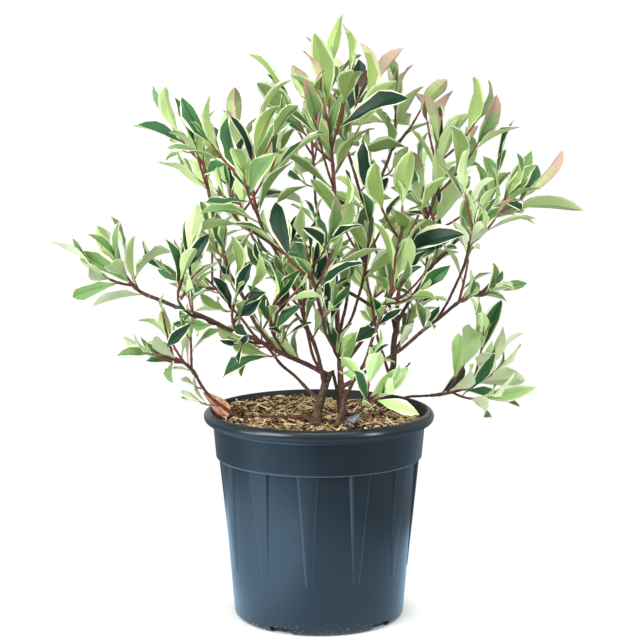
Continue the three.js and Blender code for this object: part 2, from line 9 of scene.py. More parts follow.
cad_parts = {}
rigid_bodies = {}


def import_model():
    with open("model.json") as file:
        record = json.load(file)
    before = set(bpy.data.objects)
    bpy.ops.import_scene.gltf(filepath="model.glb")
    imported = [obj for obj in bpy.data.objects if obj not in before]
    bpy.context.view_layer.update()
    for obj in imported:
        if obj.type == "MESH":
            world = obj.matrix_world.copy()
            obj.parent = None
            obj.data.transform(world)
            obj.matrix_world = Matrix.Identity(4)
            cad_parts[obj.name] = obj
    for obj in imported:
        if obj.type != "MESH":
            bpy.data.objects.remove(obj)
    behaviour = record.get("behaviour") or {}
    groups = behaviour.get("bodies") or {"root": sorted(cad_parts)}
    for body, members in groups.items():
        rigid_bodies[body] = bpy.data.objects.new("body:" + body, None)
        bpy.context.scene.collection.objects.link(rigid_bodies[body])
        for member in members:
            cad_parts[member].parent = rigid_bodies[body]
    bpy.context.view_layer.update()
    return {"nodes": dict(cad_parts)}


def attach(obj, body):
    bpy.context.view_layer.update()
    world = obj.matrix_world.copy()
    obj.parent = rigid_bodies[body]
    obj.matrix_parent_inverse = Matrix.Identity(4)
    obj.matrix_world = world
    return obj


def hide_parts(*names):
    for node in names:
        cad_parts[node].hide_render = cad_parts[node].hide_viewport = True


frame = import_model()
print("frame loaded with", len(frame["nodes"]), "nodes")

mm = 0.001  # sizes below are in millimetres, as in the part's source
fullTurn = 2 * math.pi
upWay = np.array([0.0, 0.0, 1.0])


# Helpers for selecting, shaping and joining


def clearSelection():
    if bpy.context.object and bpy.context.object.mode != "OBJECT":
        bpy.ops.object.mode_set(mode="OBJECT")
    bpy.ops.object.select_all(action="DESELECT")


def takeUp(*pieces):
    clearSelection()
    for piece in pieces:
        piece.select_set(True)
    bpy.context.view_layer.objects.active = pieces[0]


@contextmanager
def editing(piece, wholeMesh=True):
    takeUp(piece)
    bpy.ops.object.mode_set(mode="EDIT")
    if wholeMesh:
        bpy.ops.mesh.select_all(action="SELECT")
    yield
    bpy.ops.object.mode_set(mode="OBJECT")


def placeObject(name, data):
    piece = bpy.data.objects.new(name, data)
    bpy.context.scene.collection.objects.link(piece)
    return piece


def addPrimitive(operator, name, **settings):
    clearSelection()
    operator(**settings)
    bpy.context.object.name = name
    return bpy.context.object


def addModifier(piece, kind, **settings):
    takeUp(piece)
    modifier = piece.modifiers.new(kind.lower(), kind)
    for key, value in settings.items():
        setattr(modifier, key, value)
    bpy.ops.object.modifier_apply(modifier=modifier.name)


def addRelief(piece, name, relief, **settings):
    texture = bpy.data.textures.new(name, "CLOUDS")
    texture.noise_scale = relief["scale"]
    texture.noise_depth = relief["depth"]
    addModifier(piece, "DISPLACE", texture=texture, strength=relief["strength"] * mm, **settings)


def subdivide(piece, levels):
    addModifier(piece, "SUBSURF", levels=levels, render_levels=levels)


def closeMesh(piece, gap=0.01):
    with editing(piece):
        bpy.ops.mesh.remove_doubles(threshold=gap * mm)
        bpy.ops.mesh.normals_make_consistent(inside=False)


def joinPieces(pieces, name):
    takeUp(*pieces)
    bpy.ops.object.join()
    joined = bpy.context.object
    joined.name = joined.data.name = name
    return joined


def smoothByAngle(piece, degrees):
    takeUp(piece)
    bpy.ops.object.shade_smooth_by_angle(angle=math.radians(degrees))


def spinProfile(name, profile, steps):
    mesh = bpy.data.meshes.new(name)
    corners = [(radius * mm, 0, height * mm) for radius, height in profile]
    mesh.from_pydata(corners, [(i, i + 1) for i in range(len(corners) - 1)], [])
    piece = placeObject(name, mesh)
    with editing(piece):
        bpy.ops.mesh.spin(steps=steps, angle=fullTurn, center=(0, 0, 0), axis=(0, 0, 1))
    closeMesh(piece)
    return piece


def copyAround(piece, count, firstTurn):
    twins = []
    for i in range(count):
        twin = placeObject(piece.name, piece.data.copy())
        twin.data.transform(Matrix.Rotation(math.radians(firstTurn + i * 360 / count), 4, "Z"))
        twins.append(twin)
    bpy.data.objects.remove(piece)
    return twins


def ringFaces(first, sides, rings):
    faces = []
    for low in range(first, first + sides * (rings - 1), sides):
        for c in range(sides):
            after = (c + 1) % sides
            faces.append([low + c, low + after, low + sides + after, low + sides + c])
    return faces


def tubeFaces(first, sides, rings):
    last = first + sides * (rings - 1)
    ends = [list(reversed(range(first, first + sides))), list(range(last, last + sides))]
    return ringFaces(first, sides, rings) + ends


def wayFrom(turn, tilt):
    flat = math.cos(tilt)
    return np.array([math.cos(turn) * flat, math.sin(turn) * flat, math.sin(tilt)])


def coat(piece, *materials):
    piece.data.materials.clear()
    for material in materials:
        piece.data.materials.append(material)


def meshFromArrays(name, points, faces, slots, materials, uv=None):
    mesh = bpy.data.meshes.new(name)
    mesh.from_pydata(np.asarray(points) * mm, [], faces)
    piece = placeObject(name, mesh)
    coat(piece, *materials)
    mesh.polygons.foreach_set("material_index", np.asarray(slots, dtype=np.int32))
    if uv is not None:
        layer = mesh.uv_layers.new(name="leafMap")
        corners = np.empty(len(mesh.loops), dtype=np.int32)
        mesh.loops.foreach_get("vertex_index", corners)
        layer.data.foreach_set("uv", np.asarray(uv, dtype=np.float32)[corners].ravel())
    mesh.update()
    return piece


def standFor(piece, slot, *nodes):
    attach(piece, "root")
    if nodes:
        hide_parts(*nodes)


# Helpers for materials

noiseSpan = (0.3, 0.7)  # where most values of a noise lie


def tint(red, green, blue):
    shares = [value / 255 for value in (red, green, blue)]
    return tuple(s / 12.92 if s < 0.04045 else ((s + 0.055) / 1.055) ** 2.4 for s in shares)


def newMaterial(name, colour, roughness, specular):
    material = bpy.data.materials.new(name)
    material.use_nodes = True
    shader = material.node_tree.nodes["Principled BSDF"]
    shader.inputs["Base Color"].default_value = (*colour, 1)
    shader.inputs["Roughness"].default_value = roughness
    shader.inputs["Specular IOR Level"].default_value = specular
    return material, shader


def addNode(owner, kind, **settings):
    node = owner.node_tree.nodes.new(kind)
    for key, value in settings.items():
        if hasattr(node, key):
            setattr(node, key, value)
        else:
            node.inputs[key].default_value = value
    return node


def wire(owner, value, entry):
    if isinstance(value, (int, float)):
        entry.default_value = value
    else:
        owner.node_tree.links.new(value, entry)


def wireAll(owner, node, *values):
    for value, entry in zip(values, node.inputs):
        wire(owner, value, entry)
    return node.outputs[0]


def addMath(owner, operation, *values):
    return wireAll(owner, addNode(owner, "ShaderNodeMath", operation=operation), *values)


def objectPlace(owner):
    return addNode(owner, "ShaderNodeTexCoord").outputs["Object"]


def splitPlace(owner, place):
    split = addNode(owner, "ShaderNodeSeparateXYZ")
    wire(owner, place, split.inputs["Vector"])
    return split.outputs


def heightOf(owner):
    return splitPlace(owner, objectPlace(owner))["Z"]


def distanceFrom(owner, place, spot):
    away = addNode(owner, "ShaderNodeVectorMath", operation="DISTANCE")
    wire(owner, place, away.inputs[0])
    away.inputs[1].default_value = spot
    return away.outputs["Value"]


def mapRange(owner, value, start, end, low=0, high=1, kind="LINEAR"):
    span = addNode(owner, "ShaderNodeMapRange", interpolation_type=kind)
    wire(owner, value, span.inputs["Value"])
    entries = {"From Min": start, "From Max": end, "To Min": low, "To Max": high}
    for entry, number in entries.items():
        span.inputs[entry].default_value = number
    return span.outputs["Result"]


def addNoise(owner, scale, detail=4, roughness=0.55):
    noise = addNode(owner, "ShaderNodeTexNoise", Scale=scale, Detail=detail, Roughness=roughness)
    wire(owner, objectPlace(owner), noise.inputs["Vector"])
    return noise.outputs["Fac"]


def spreadRoughness(material, shader, noise, low, high):
    wire(material, mapRange(material, noise, *noiseSpan, low, high), shader.inputs["Roughness"])


def spreadColour(material, shader, value, stops):
    ramp = addNode(material, "ShaderNodeValToRGB")
    while len(ramp.color_ramp.elements) < len(stops):
        ramp.color_ramp.elements.new(0.5)
    for element, (place, colour) in zip(ramp.color_ramp.elements, stops):
        element.position = place
        element.color = (*colour, 1)
    wire(material, value, ramp.inputs["Fac"])
    wire(material, ramp.outputs["Color"], shader.inputs["Base Color"])


def addBump(material, shader, height, strength, distance, invert=False):
    sizes = {"Strength": strength, "Distance": distance * mm}
    bump = addNode(material, "ShaderNodeBump", invert=invert, **sizes)
    wire(material, height, bump.inputs["Height"])
    wire(material, bump.outputs["Normal"], shader.inputs["Normal"])


def grainMaterial(name, colour, look, stops=None):
    material, shader = newMaterial(name, colour, look["roughness"], look["specular"])
    grain = addNoise(material, *look["grain"])
    if stops:
        spreadColour(material, shader, grain, stops)
    spreadRoughness(material, shader, grain, *look["spread"])
    addBump(material, shader, grain, *look["bump"])
    return material


# Camera, as the photograph sees the plant

cameraSet = {
    "place": (0.001, -1.700, 0.535),
    "pitchDown": 8.1,
    "lens": 99.0,
    "sensor": 36.0,
    "sight": 50,
}

cameraData = bpy.data.cameras.new("photoCamera")
cameraData.lens = cameraSet["lens"]
cameraData.sensor_width = cameraSet["sensor"]
cameraData.clip_end = cameraSet["sight"]
camera = placeObject("photoCamera", cameraData)
camera.location = cameraSet["place"]
camera.rotation_euler = (math.radians(90 - cameraSet["pitchDown"]), 0, 0)
bpy.context.scene.camera = camera


# Pot: a thin shell with a rolled lip, a collar, tapering ribs and drain slots

potSet = {
    "height": 205,
    "steps": 120,
    "arcSteps": {"foot": 6, "inside": 4, "ledge": 4, "lip": 14, "roll": 4},
    "rimRadius": 113,
    "lipHeight": 12,
    "lipRoll": 2,
    "lipRollFrom": 112,  # degrees
    "lipFoot": (0.9, 1.2),  # out and down to the collar
    "collarTopRadius": 104.2,
    "collarFootRadius": 101.3,
    "collarFoot": 158,
    "collarEnds": (1.5, 3),  # left free at the foot and the top
    "ledgeSlope": 0.8,
    "ledgeRounding": 1.6,
    "bodyTopRadius": 96.4,
    "bodyFootRadius": 84,
    "bodyHeights": (40, 80, 120),
    "footRounding": 5,
    "wall": 2.2,
    "floor": 3,
    "ribCount": 12,
    "ribFirstTurn": -6.1,
    "ribFoot": 50,
    "ribTop": {"face": 19, "base": 23.5, "rise": 2.2},  # two widths, and how far it stands out
    "ribEnd": {"face": 6, "base": 9, "rise": 0.4},
    "ribSunk": 1.1,  # into the wall
    "drainCount": 5,
    "drainFirstTurn": -26,
    "drain": {"deep": 16, "wide": 23, "high": 6},
    "bevel": 1.2,
    "bevelSteps": 3,
    "facesDown": -0.3,  # a face of the lip that looks down gets the painted shade of the inside
    "smoothAngle": 32,
    "look": {
        "dark": tint(22, 32, 40),
        "specular": 0.45,
        "plainRoughness": 0.36,
        "roughness": (0.2, 0.3),
        "mould": (28, 5),
        "specks": (620, 2, 0.4),
        "dustTop": 60,  # dust clings to the wall below this
        "dust": [(0.42, tint(22, 32, 40)), (0.55, tint(32, 43, 52)), (0.68, tint(104, 112, 120))],
        "grain": (1500, 3),
        "bump": (0.06, 0.25),
        "finishes": {  # colour and roughness
            # painted highlight: a lighter line along the ledge's rounding at the collar's foot
            "potLedgeHighlight": (tint(56, 72, 84), 0.3),
            # painted shade: the inside and the lip's downward faces are darker than the same
            # plastic outside
            "potShadedInside": (tint(18, 26, 32), 0.6),
            # painted highlight: lighter bevels on the ribs' long edges
            "potRibHighlight": (tint(34, 46, 56), 0.28),
        },
        "finish": {"specular": 0.45, "grain": (900, 3), "bump": (0.1, 0.3)},
        "finishSpread": (-0.05, 0.08),
    },
}

potFinishes = ["potPlastic", *potSet["look"]["finishes"]]


def arcPoints(radius, height, bend, start, end, steps):
    angles = np.radians(np.linspace(start, end, steps + 1))
    return [(radius + bend * math.cos(a), height + bend * math.sin(a)) for a in angles]


def bodyRadius(height):
    size = potSet
    share = (height - size["footRounding"]) / (size["collarFoot"] - size["footRounding"])
    return size["bodyFootRadius"] + share * (size["bodyTopRadius"] - size["bodyFootRadius"])


def innerWall():
    size = potSet
    wall, roll = size["wall"], size["lipRoll"]
    bend = size["footRounding"] - wall
    foot = size["bodyFootRadius"] - size["footRounding"]
    return [
        *arcPoints(foot, size["floor"] + bend, bend, -90, 0, size["arcSteps"]["inside"]),
        (size["bodyTopRadius"] - wall, size["collarFoot"] + wall),
        (size["collarFootRadius"] - wall, size["collarFoot"] + wall + size["ledgeSlope"]),
        (size["collarTopRadius"] - wall, size["height"] - size["lipHeight"]),
        (size["rimRadius"] - size["lipHeight"] / 2 - roll, size["height"] - roll),
    ]


def potProfile():
    size, steps = potSet, potSet["arcSteps"]
    foot, rounding = size["footRounding"], size["ledgeRounding"]
    lip, roll = size["lipHeight"] / 2, size["lipRoll"]
    lipMiddle = size["rimRadius"] - lip
    ledge = size["collarFoot"] + size["ledgeSlope"]
    skirt = size["height"] - size["lipHeight"]
    collar, collarTop = size["collarFootRadius"], size["collarTopRadius"]
    slope = (collarTop - collar) / (skirt - ledge - rounding)
    collarHeights = (ledge + rounding + size["collarEnds"][0], skirt - size["collarEnds"][1])
    return [
        (0, 0),
        *arcPoints(size["bodyFootRadius"] - foot, foot, foot, -90, 0, steps["foot"]),
        *[(bodyRadius(height), height) for height in size["bodyHeights"]],
        (size["bodyTopRadius"], size["collarFoot"]),
        *arcPoints(collar - rounding, ledge + rounding, rounding, -90, 0, steps["ledge"]),
        *[(collar + slope * (height - ledge - rounding), height) for height in collarHeights],
        (collarTop, skirt - size["lipFoot"][1]),
        (collarTop + size["lipFoot"][0], skirt),
        *arcPoints(lipMiddle, size["height"] - lip, lip, -90, 90, steps["lip"]),
        *arcPoints(lipMiddle, size["height"] - roll, roll, size["lipRollFrom"], 180, steps["roll"]),
        *reversed(innerWall()[:-1]),
        (0, size["floor"]),
    ]


def bevelEdges(**settings):
    width, steps = potSet["bevel"] * mm, potSet["bevelSteps"]
    bpy.ops.mesh.bevel(offset=width, segments=steps, affect="EDGES", **settings)


def ribPiece(materials):
    size = potSet
    rib = addPrimitive(bpy.ops.mesh.primitive_cube_add, "rib", size=2)
    coat(rib, *materials)
    for corner in rib.data.vertices:
        upper = corner.co.z > 0
        outside = corner.co.y < 0
        end = size["ribTop"] if upper else size["ribEnd"]
        height = size["collarFoot"] + size["ledgeSlope"] / 2 if upper else size["ribFoot"]
        half = (end["face"] if outside else end["base"]) / 2
        radius = bodyRadius(height) + (end["rise"] if outside else -size["ribSunk"])
        corner.co = Vector((math.copysign(half, corner.co.x), -radius, height)) * mm
    for part in (*rib.data.vertices, *rib.data.polygons):
        part.select = False
    for edge in rib.data.edges:
        ends = [rib.data.vertices[i].co for i in edge.vertices]
        outer = all(end.y < -bodyRadius(end.z / mm) * mm for end in ends)
        upright = abs(ends[0].z - ends[1].z) > size["ribFoot"] * mm
        edge.select = outer and upright  # the two long edges
    bpy.context.tool_settings.mesh_select_mode = (False, True, False)
    with editing(rib, wholeMesh=False):
        # the bevels get the painted rib highlight
        bevelEdges(material=potFinishes.index("potRibHighlight"))
    bpy.context.tool_settings.mesh_select_mode = (True, False, False)
    return rib


def drainCutters():
    size, drain = potSet, potSet["drain"]
    cutter = addPrimitive(bpy.ops.mesh.primitive_cube_add, "drainCutter", size=1)
    scale = (drain["wide"] * mm, drain["deep"] * mm, 2 * drain["high"] * mm, 1)
    cutter.data.transform(Matrix.Diagonal(scale))
    cutter.data.transform(Matrix.Translation((0, -size["bodyFootRadius"] * mm, 0)))
    with editing(cutter):
        bevelEdges()
    cutters = copyAround(cutter, size["drainCount"], size["drainFirstTurn"])
    return joinPieces(cutters, "drainCutters")


def potMaterial():
    look = potSet["look"]
    surface = (look["dark"], look["plainRoughness"], look["specular"])
    material, shader = newMaterial("potPlastic", *surface)
    spreadRoughness(material, shader, addNoise(material, *look["mould"]), *look["roughness"])
    low = mapRange(material, heightOf(material), look["dustTop"] * mm, 0)
    dust = addMath(material, "MULTIPLY", addNoise(material, *look["specks"]), low)
    spreadColour(material, shader, dust, look["dust"])
    addBump(material, shader, addNoise(material, *look["grain"]), *look["bump"])
    return material


def finishMaterial(name, colour, roughness):
    look = potSet["look"]
    spread = [roughness + change for change in look["finishSpread"]]
    return grainMaterial(name, colour, {**look["finish"], "roughness": roughness, "spread": spread})


def markShell(pot):
    size = potSet
    ledge = size["collarFoot"] + size["ledgeSlope"]
    lipFoot = size["height"] - size["lipHeight"] - size["lipFoot"][1]
    for face in pot.data.polygons:
        place = face.center / mm
        radius = math.hypot(place.x, place.y)
        outward = face.normal.x * place.x + face.normal.y * place.y
        # painted highlight along the ledge's rounding
        ledgeHighlight = ledge < place.z < ledge + size["ledgeRounding"]
        shadedUnderLip = place.z > lipFoot and face.normal.z < size["facesDown"]
        # painted shade inside the pot and under the lip
        if shadedUnderLip or outward < 0 and place.z > size["floor"]:
            face.material_index = potFinishes.index("potShadedInside")
        elif ledgeHighlight and radius > size["collarFootRadius"] - size["ledgeRounding"]:
            face.material_index = potFinishes.index("potLedgeHighlight")


def makePot():
    size = potSet
    finishes = size["look"]["finishes"].items()
    materials = [potMaterial(), *[finishMaterial(name, *finish) for name, finish in finishes]]
    pot = spinProfile("potShell", potProfile(), size["steps"])
    cutters = drainCutters()
    addModifier(pot, "BOOLEAN", object=cutters, operation="DIFFERENCE", solver="EXACT")
    bpy.data.objects.remove(cutters)
    coat(pot, *materials)
    markShell(pot)
    ribs = copyAround(ribPiece(materials), size["ribCount"], size["ribFirstTurn"])
    pot = joinPieces([pot, *ribs], "potShell")
    smoothByAngle(pot, size["smoothAngle"])
    standFor(pot, "pot", "pot")
    print("pot shaped:", len(pot.data.polygons), "faces")


makePot()


# Potting mix: fills the pot, with an uneven top strewn with bark chips and fibres

mixSet = {
    "level": 194,
    "gap": 0.3,  # to the pot's wall, as in the source
    "rings": 26,
    "steps": 96,
    "lumps": {"strength": 7.0, "scale": 0.016, "depth": 2},
    "crumbs": {"strength": 4.0, "scale": 0.004, "depth": 2},
    "reliefMiddle": 0.52,
    "reliefAtEdge": 0.05,
    "reliefReach": 6,  # from the edge to the full relief
    "chips": {
        "count": 300,
        "length": (5, 13),
        "width": (2.0, 4.4),
        "thick": (1.0, 2.0),
        "tilt": 20,
    },
    "fibres": {
        "count": 2600,
        "length": (7, 24),
        "width": (0.6, 1.3),
        "thick": (0.5, 0.9),
        "tilt": 15,
    },
    "roll": 25,  # of chips and fibres, as the next four
    "bow": (-0.12, 0.12),
    "lift": (-0.4, 2.6),
    "endTaper": (0.3, 0.8),
    "edgeRoom": 4,
    "strewSeed": 11,
    "heap": 6.5,
    "heapWay": (-0.8, 0.45),  # banked up towards the left and the back
    "heapPower": 1.3,
    # painted shade: the mix darkens below this height, so the drain slots look dark
    "slotShadeBelow": 60,
    "slotShade": 0.3,
    "smoothAngle": 60,
    "strewnAngle": 40,
    "strewnMerge": 0.0001,
    "soil": {
        "plain": tint(80, 56, 38),
        "roughness": 0.95,
        "specular": 0.2,
        "crumbs": (260, 6, 0.7),
        # the darkest stops partly paint the shade in the gaps between chips and fibres
        "stops": [
            (0.34, tint(14, 10, 6)),
            (0.5, tint(46, 34, 22)),
            (0.62, tint(98, 78, 52)),
            (0.74, tint(168, 148, 108)),
        ],
        "spread": (0.85, 1.0),
        "bump": (0.7, 2.0),
    },
    "litter": {
        "roughness": 0.85,
        "specular": 0.25,
        "grain": (700, 4, 0.6),
        "spread": (0.7, 0.95),
        "bump": (0.5, 0.5),
    },
    "colours": {  # colour and share of the pieces; the darkest partly paint the shade between pieces, the palest straw partly paints highlights
        "mixStraw": (tint(244, 226, 182), 0.22),
        "mixTan": (tint(188, 156, 108), 0.22),
        "mixBrown": (tint(104, 74, 48), 0.22),
        "mixDarkAndShade": (tint(26, 18, 12), 0.22),
        "mixRusset": (tint(150, 92, 66), 0.12),
    },
}


def mixEdge():
    lower, upper = innerWall()[-2:]
    share = (mixSet["level"] - mixSet["gap"] - lower[1]) / (upper[1] - lower[1])
    return lower[0] + share * (upper[0] - lower[0]) - mixSet["gap"]


def heapAt(x, y, edge):
    toward = (x * mixSet["heapWay"][0] + y * mixSet["heapWay"][1]) / edge
    return mixSet["heap"] * min(1, max(0, toward)) ** mixSet["heapPower"]


def soilMaterial():
    look = mixSet["soil"]
    material, shader = newMaterial("mixSoil", look["plain"], look["roughness"], look["specular"])
    crumbs = addNoise(material, *look["crumbs"])
    slotShade = mapRange(material, heightOf(material), mixSet["slotShadeBelow"] * mm, 0, 0, mixSet["slotShade"])
    tone = addMath(material, "SUBTRACT", crumbs, slotShade)  # painted shade: darker towards the bottom, where the mix is seen in the drain slots
    spreadColour(material, shader, tone, look["stops"])
    spreadRoughness(material, shader, crumbs, *look["spread"])
    addBump(material, shader, crumbs, *look["bump"])
    return material


def strew(rng, kind, edge):
    size = mixSet
    piece = size[kind]
    shares = [share for _, share in size["colours"].values()]
    corners = np.array([(-1, -1), (1, -1), (1, 1), (-1, 1)]) / 2
    points, faces, slots = [], [], []
    for _ in range(piece["count"]):
        radius = math.sqrt(rng.random()) * (edge - size["edgeRoom"])
        around = rng.uniform(0, fullTurn)
        length = rng.uniform(*piece["length"])
        wide = rng.uniform(*piece["width"])
        thick = rng.uniform(*piece["thick"])
        yaw = rng.uniform(0, fullTurn)
        pitch = math.radians(rng.normal(0, piece["tilt"]))
        roll = math.radians(rng.normal(0, size["roll"]))
        bow = rng.uniform(*size["bow"]) * length
        way = wayFrom(yaw, pitch)
        level = np.array([-math.sin(yaw), math.cos(yaw), 0])
        upright = np.cross(way, level)
        side = level * math.cos(roll) + upright * math.sin(roll)
        up = upright * math.cos(roll) - level * math.sin(roll)
        x, y = radius * math.cos(around), radius * math.sin(around)
        height = size["level"] + heapAt(x, y, edge) + rng.uniform(*size["lift"])
        middle = np.array([x, y, height])
        first = len(points)
        ends = [rng.uniform(*size["endTaper"]) for _ in range(2)]
        for share, taper in ((-0.5, ends[0]), (0.0, 1.0), (0.5, ends[1])):
            centre = middle + way * length * share + side * bow * (1 - 4 * share * share)
            for out, lift in corners:
                corner = centre + side * out * wide * taper
                points.append(corner + up * lift * thick * (1 + taper) / 2)
        faces += tubeFaces(first, len(corners), 3)
        slots += [int(rng.choice(len(shares), p=shares))] * (len(faces) - len(slots))
    return points, faces, slots


def makeMix():
    size = mixSet
    edge = mixEdge()
    gap, level, rings = size["gap"], size["level"], size["rings"]
    wall = [(radius - gap, height + gap) for radius, height in innerWall()[:-1]]
    top = [(edge * (1 - i / rings), level) for i in range(rings)]
    profile = [(0, potSet["floor"] + gap), *wall, *top, (0, level)]
    body = spinProfile("pottingMix", profile, size["steps"])
    group = body.vertex_groups.new(name="top")
    for vertex in body.data.vertices:
        radius = math.hypot(vertex.co.x, vertex.co.y) / mm
        if vertex.co.z > (level - gap / 2) * mm:
            relief = min(1.0, (edge - radius) / size["reliefReach"] + size["reliefAtEdge"])
            group.add([vertex.index], relief, "REPLACE")
            vertex.co.z += heapAt(vertex.co.x / mm, vertex.co.y / mm, edge) * mm
    upward = {"direction": "Z", "mid_level": size["reliefMiddle"], "vertex_group": "top"}
    for name in ("lumps", "crumbs"):
        addRelief(body, name, size[name], **upward)
    coat(body, soilMaterial())
    smoothByAngle(body, size["smoothAngle"])
    standFor(body, "mix", "potting_mix")
    rng = np.random.default_rng(size["strewSeed"])
    colours = size["colours"].items()
    materials = [grainMaterial(name, colour, size["litter"]) for name, (colour, _) in colours]
    for kind, name in (("chips", "barkChips"), ("fibres", "coirFibres")):
        piece = meshFromArrays(name, *strew(rng, kind, edge), materials)
        closeMesh(piece, size["strewnMerge"])
        smoothByAngle(piece, size["strewnAngle"])
        standFor(piece, "mix")
    print("mix filled and strewn")


makeMix()


# Growth rule, as in the part's source: stems, boughs, twigs and leaves from seeded numbers

limbSizes = {  # foot or parent and share, tip, bow, radius at foot and tip
    "trunk": ((1, -38), (12, -22, 246), (-6, 0, 0), (5.8, 5)),
    "leader": ((25, -24), (15, 6, 405), (-2, 0, 0), (4.6, 2.2)),
    "rear_stem": ((56, 58), (78, 42, 294), (6, 0, 0), (4, 3.2)),
    "low_left_stem": ((-14, -8), (-118, -22, 240), (-14, 0, -12), (3, 2)),
    "low_right_stem": ((48, 40), (112, 44, 210), (-6, 4, 4), (2.6, 1.8)),
    "far_left": (("trunk", 0.93), (-162, -28, 320), (0, 0, 3), (3.2, 1.9)),
    "upper_left": (("far_left", 0.31), (-107, 25, 410), (-8, 0, -6), (2.6, 1.7)),
    "left_inner": (("trunk", 0.8), (-47, -75, 380), (3, 2, 6), (2.6, 1.7)),
    "crossing": (("rear_stem", 0.95), (-71, -4, 385), (6, 2, -8), (2.5, 1.6)),
    "right_main": (("leader", 0.28), (110, 28, 400), (5, 0, -6), (2.8, 1.8)),
    "far_right": (("rear_stem", 0.9), (156, 20, 385), (0, 0, 14), (2.5, 1.7)),
    "right_low": (("leader", 0.2), (125, -42, 310), (0, 0, -4), (2.5, 1.7)),
    "right_fork": (("right_low", 0.86), (140, -56, 367), (4, 0, 0), (1.7, 1.5)),
    "inner_right": (("leader", 0.4), (67, 62, 440), (-4, 4, 4), (2.2, 1.6)),
    "inner_cross": (("rear_stem", 0.78), (29, 66, 453), (3, -4, 0), (2.2, 1.6)),
    "mid_left": (("far_left", 0.62), (-126, -72, 314), (0, 0, -3), (1.9, 1.5)),
    "front_left": (("far_left", 0.38), (-76, -66, 291), (0, -3, -4), (1.9, 1.5)),
    "front_shoot": (("leader", 0.08), (43, -62, 221), (4, 0, -2), (2, 1.5)),
    "centre_front": (("leader", 0.33), (-1, -90, 324), (0, -6, -8), (2, 1.5)),
    "centre_right": (("right_main", 0.45), (73, -57, 356), (0, -4, -4), (2, 1.5)),
    "low_centre_left": (("far_left", 0.2), (-40, -66, 284), (2, -4, -4), (2, 1.5)),
    "low_centre_right": (("leader", 0.14), (57, -85, 307), (0, -6, -6), (2, 1.5)),
    "centre": (("leader", 0.42), (41, -18, 328), (2, 0, -3), (2, 1.5)),
    "middle": (("trunk", 0.88), (-12, -16, 286), (-2, 2, -3), (2, 1.5)),
    "rear_left": (("left_inner", 0.3), (-75, 95, 385), (-6, 6, 0), (2, 1.5)),
    "rear_middle": (("leader", 0.56), (-5, 105, 430), (-4, 6, 0), (2, 1.5)),
    "rear_right": (("rear_stem", 0.62), (112, 108, 345), (6, 6, -6), (2.2, 1.5)),
    "rear_low_left": (("trunk", 0.55), (-95, 90, 300), (0, 8, -6), (2.2, 1.5)),
    "rear_low_right": (("rear_stem", 0.42), (58, 120, 275), (0, 6, -6), (2, 1.5)),
}

spraySizes = {  # on which limb: name, tip, side twigs, their length, size of leaf
    "leader": ("top", (4, 10, 509), 5, 60, 1.08),
    "upper_left": ("upper_left", (-117, 34, 462), 3, 42, 0.82),
    "left_inner": ("upper_left_front", (-54, -86, 488), 4, 46, 0.98),
    "crossing": ("left_middle", (-91, -10, 415), 2, 38, 1.1),
    "far_left": ("far_left", (-188, -30, 344), 3, 38, 0.86),
    "mid_left": ("mid_left", (-124, -92, 351), 2, 32, 0.8),
    "front_left": ("front_left", (-77, -90, 326), 2, 30, 0.74),
    "low_left_stem": ("low_left", (-158, -30, 264), 4, 36, 0.64),
    "inner_right": ("upper_right", (76, 70, 514), 3, 42, 0.86),
    "right_main": ("right", (117, 38, 472), 4, 48, 1),
    "far_right": ("far_right", (178, 10, 406), 3, 38, 1.02),
    "right_low": ("right_middle", (166, -50, 330), 2, 30, 0.66),
    "right_fork": ("right_fork", (148, -60, 396), 2, 32, 0.8),
    "low_right_stem": ("low_right", (172, 22, 236), 4, 42, 0.94),
    "front_shoot": ("front_shoot", (54, -74, 232), 2, 24, 0.78),
    "inner_cross": ("upper_middle", (17, 72, 492), 3, 40, 0.9),
    "middle": ("middle", (-14, -22, 328), 3, 36, 0.84),
    "rear_stem": ("rear_inner", (92, 66, 348), 3, 40, 0.9),
    "centre": ("centre", (46, -30, 380), 3, 38, 0.96),
    "centre_front": ("centre_front", (-12, -112, 378), 3, 42, 0.96),
    "centre_right": ("centre_right", (77, -78, 411), 3, 42, 0.96),
    "low_centre_left": ("low_centre_left", (-36, -95, 332), 3, 34, 0.8),
    "low_centre_right": ("low_centre_right", (70, -108, 337), 3, 36, 0.84),
    "rear_left": ("rear_left", (-95, 125, 432), 4, 46, 0.96),
    "rear_middle": ("rear_middle", (-10, 140, 478), 4, 46, 0.96),
    "rear_right": ("rear_right", (130, 128, 392), 4, 44, 0.96),
    "rear_low_left": ("rear_low_left", (-122, 104, 327), 3, 42, 0.9),
    "rear_low_right": ("rear_low_right", (66, 146, 317), 3, 40, 0.9),
}

limbRule = {
    "rings": 6,
    "flare": 0.55,
    "boughFlare": 0.2,
    "flareReach": 0.1,
    "sunk": 8,  # depth of the foot in the mix
    "nearParallel": 0.8,
    "sway": 1.6,  # slight bends to and fro
    "swaySwing": (0.5, 1),
    "swayLength": 38,
    "swayRate": 1.3,
    "swayDiceFrom": 900,
}

twigRule = {
    "goldenTurn": math.radians(137.5),
    "stemShare": (0.12, 0.7),
    "jitter": (0.2, 0.8),
    "angle": (38, 56),
    "lift": 0.3,
    "bend": 0.55,
    "lengthShare": (1.1, 0.8),
    "lengthSwing": (0.85, 1.15),
    "radius": (1.3, 0.95),
    "stemFootRadius": 2.2,
    "stemTipRadius": 1.05,
    "stemRings": 4,
    "rings": 2,
}

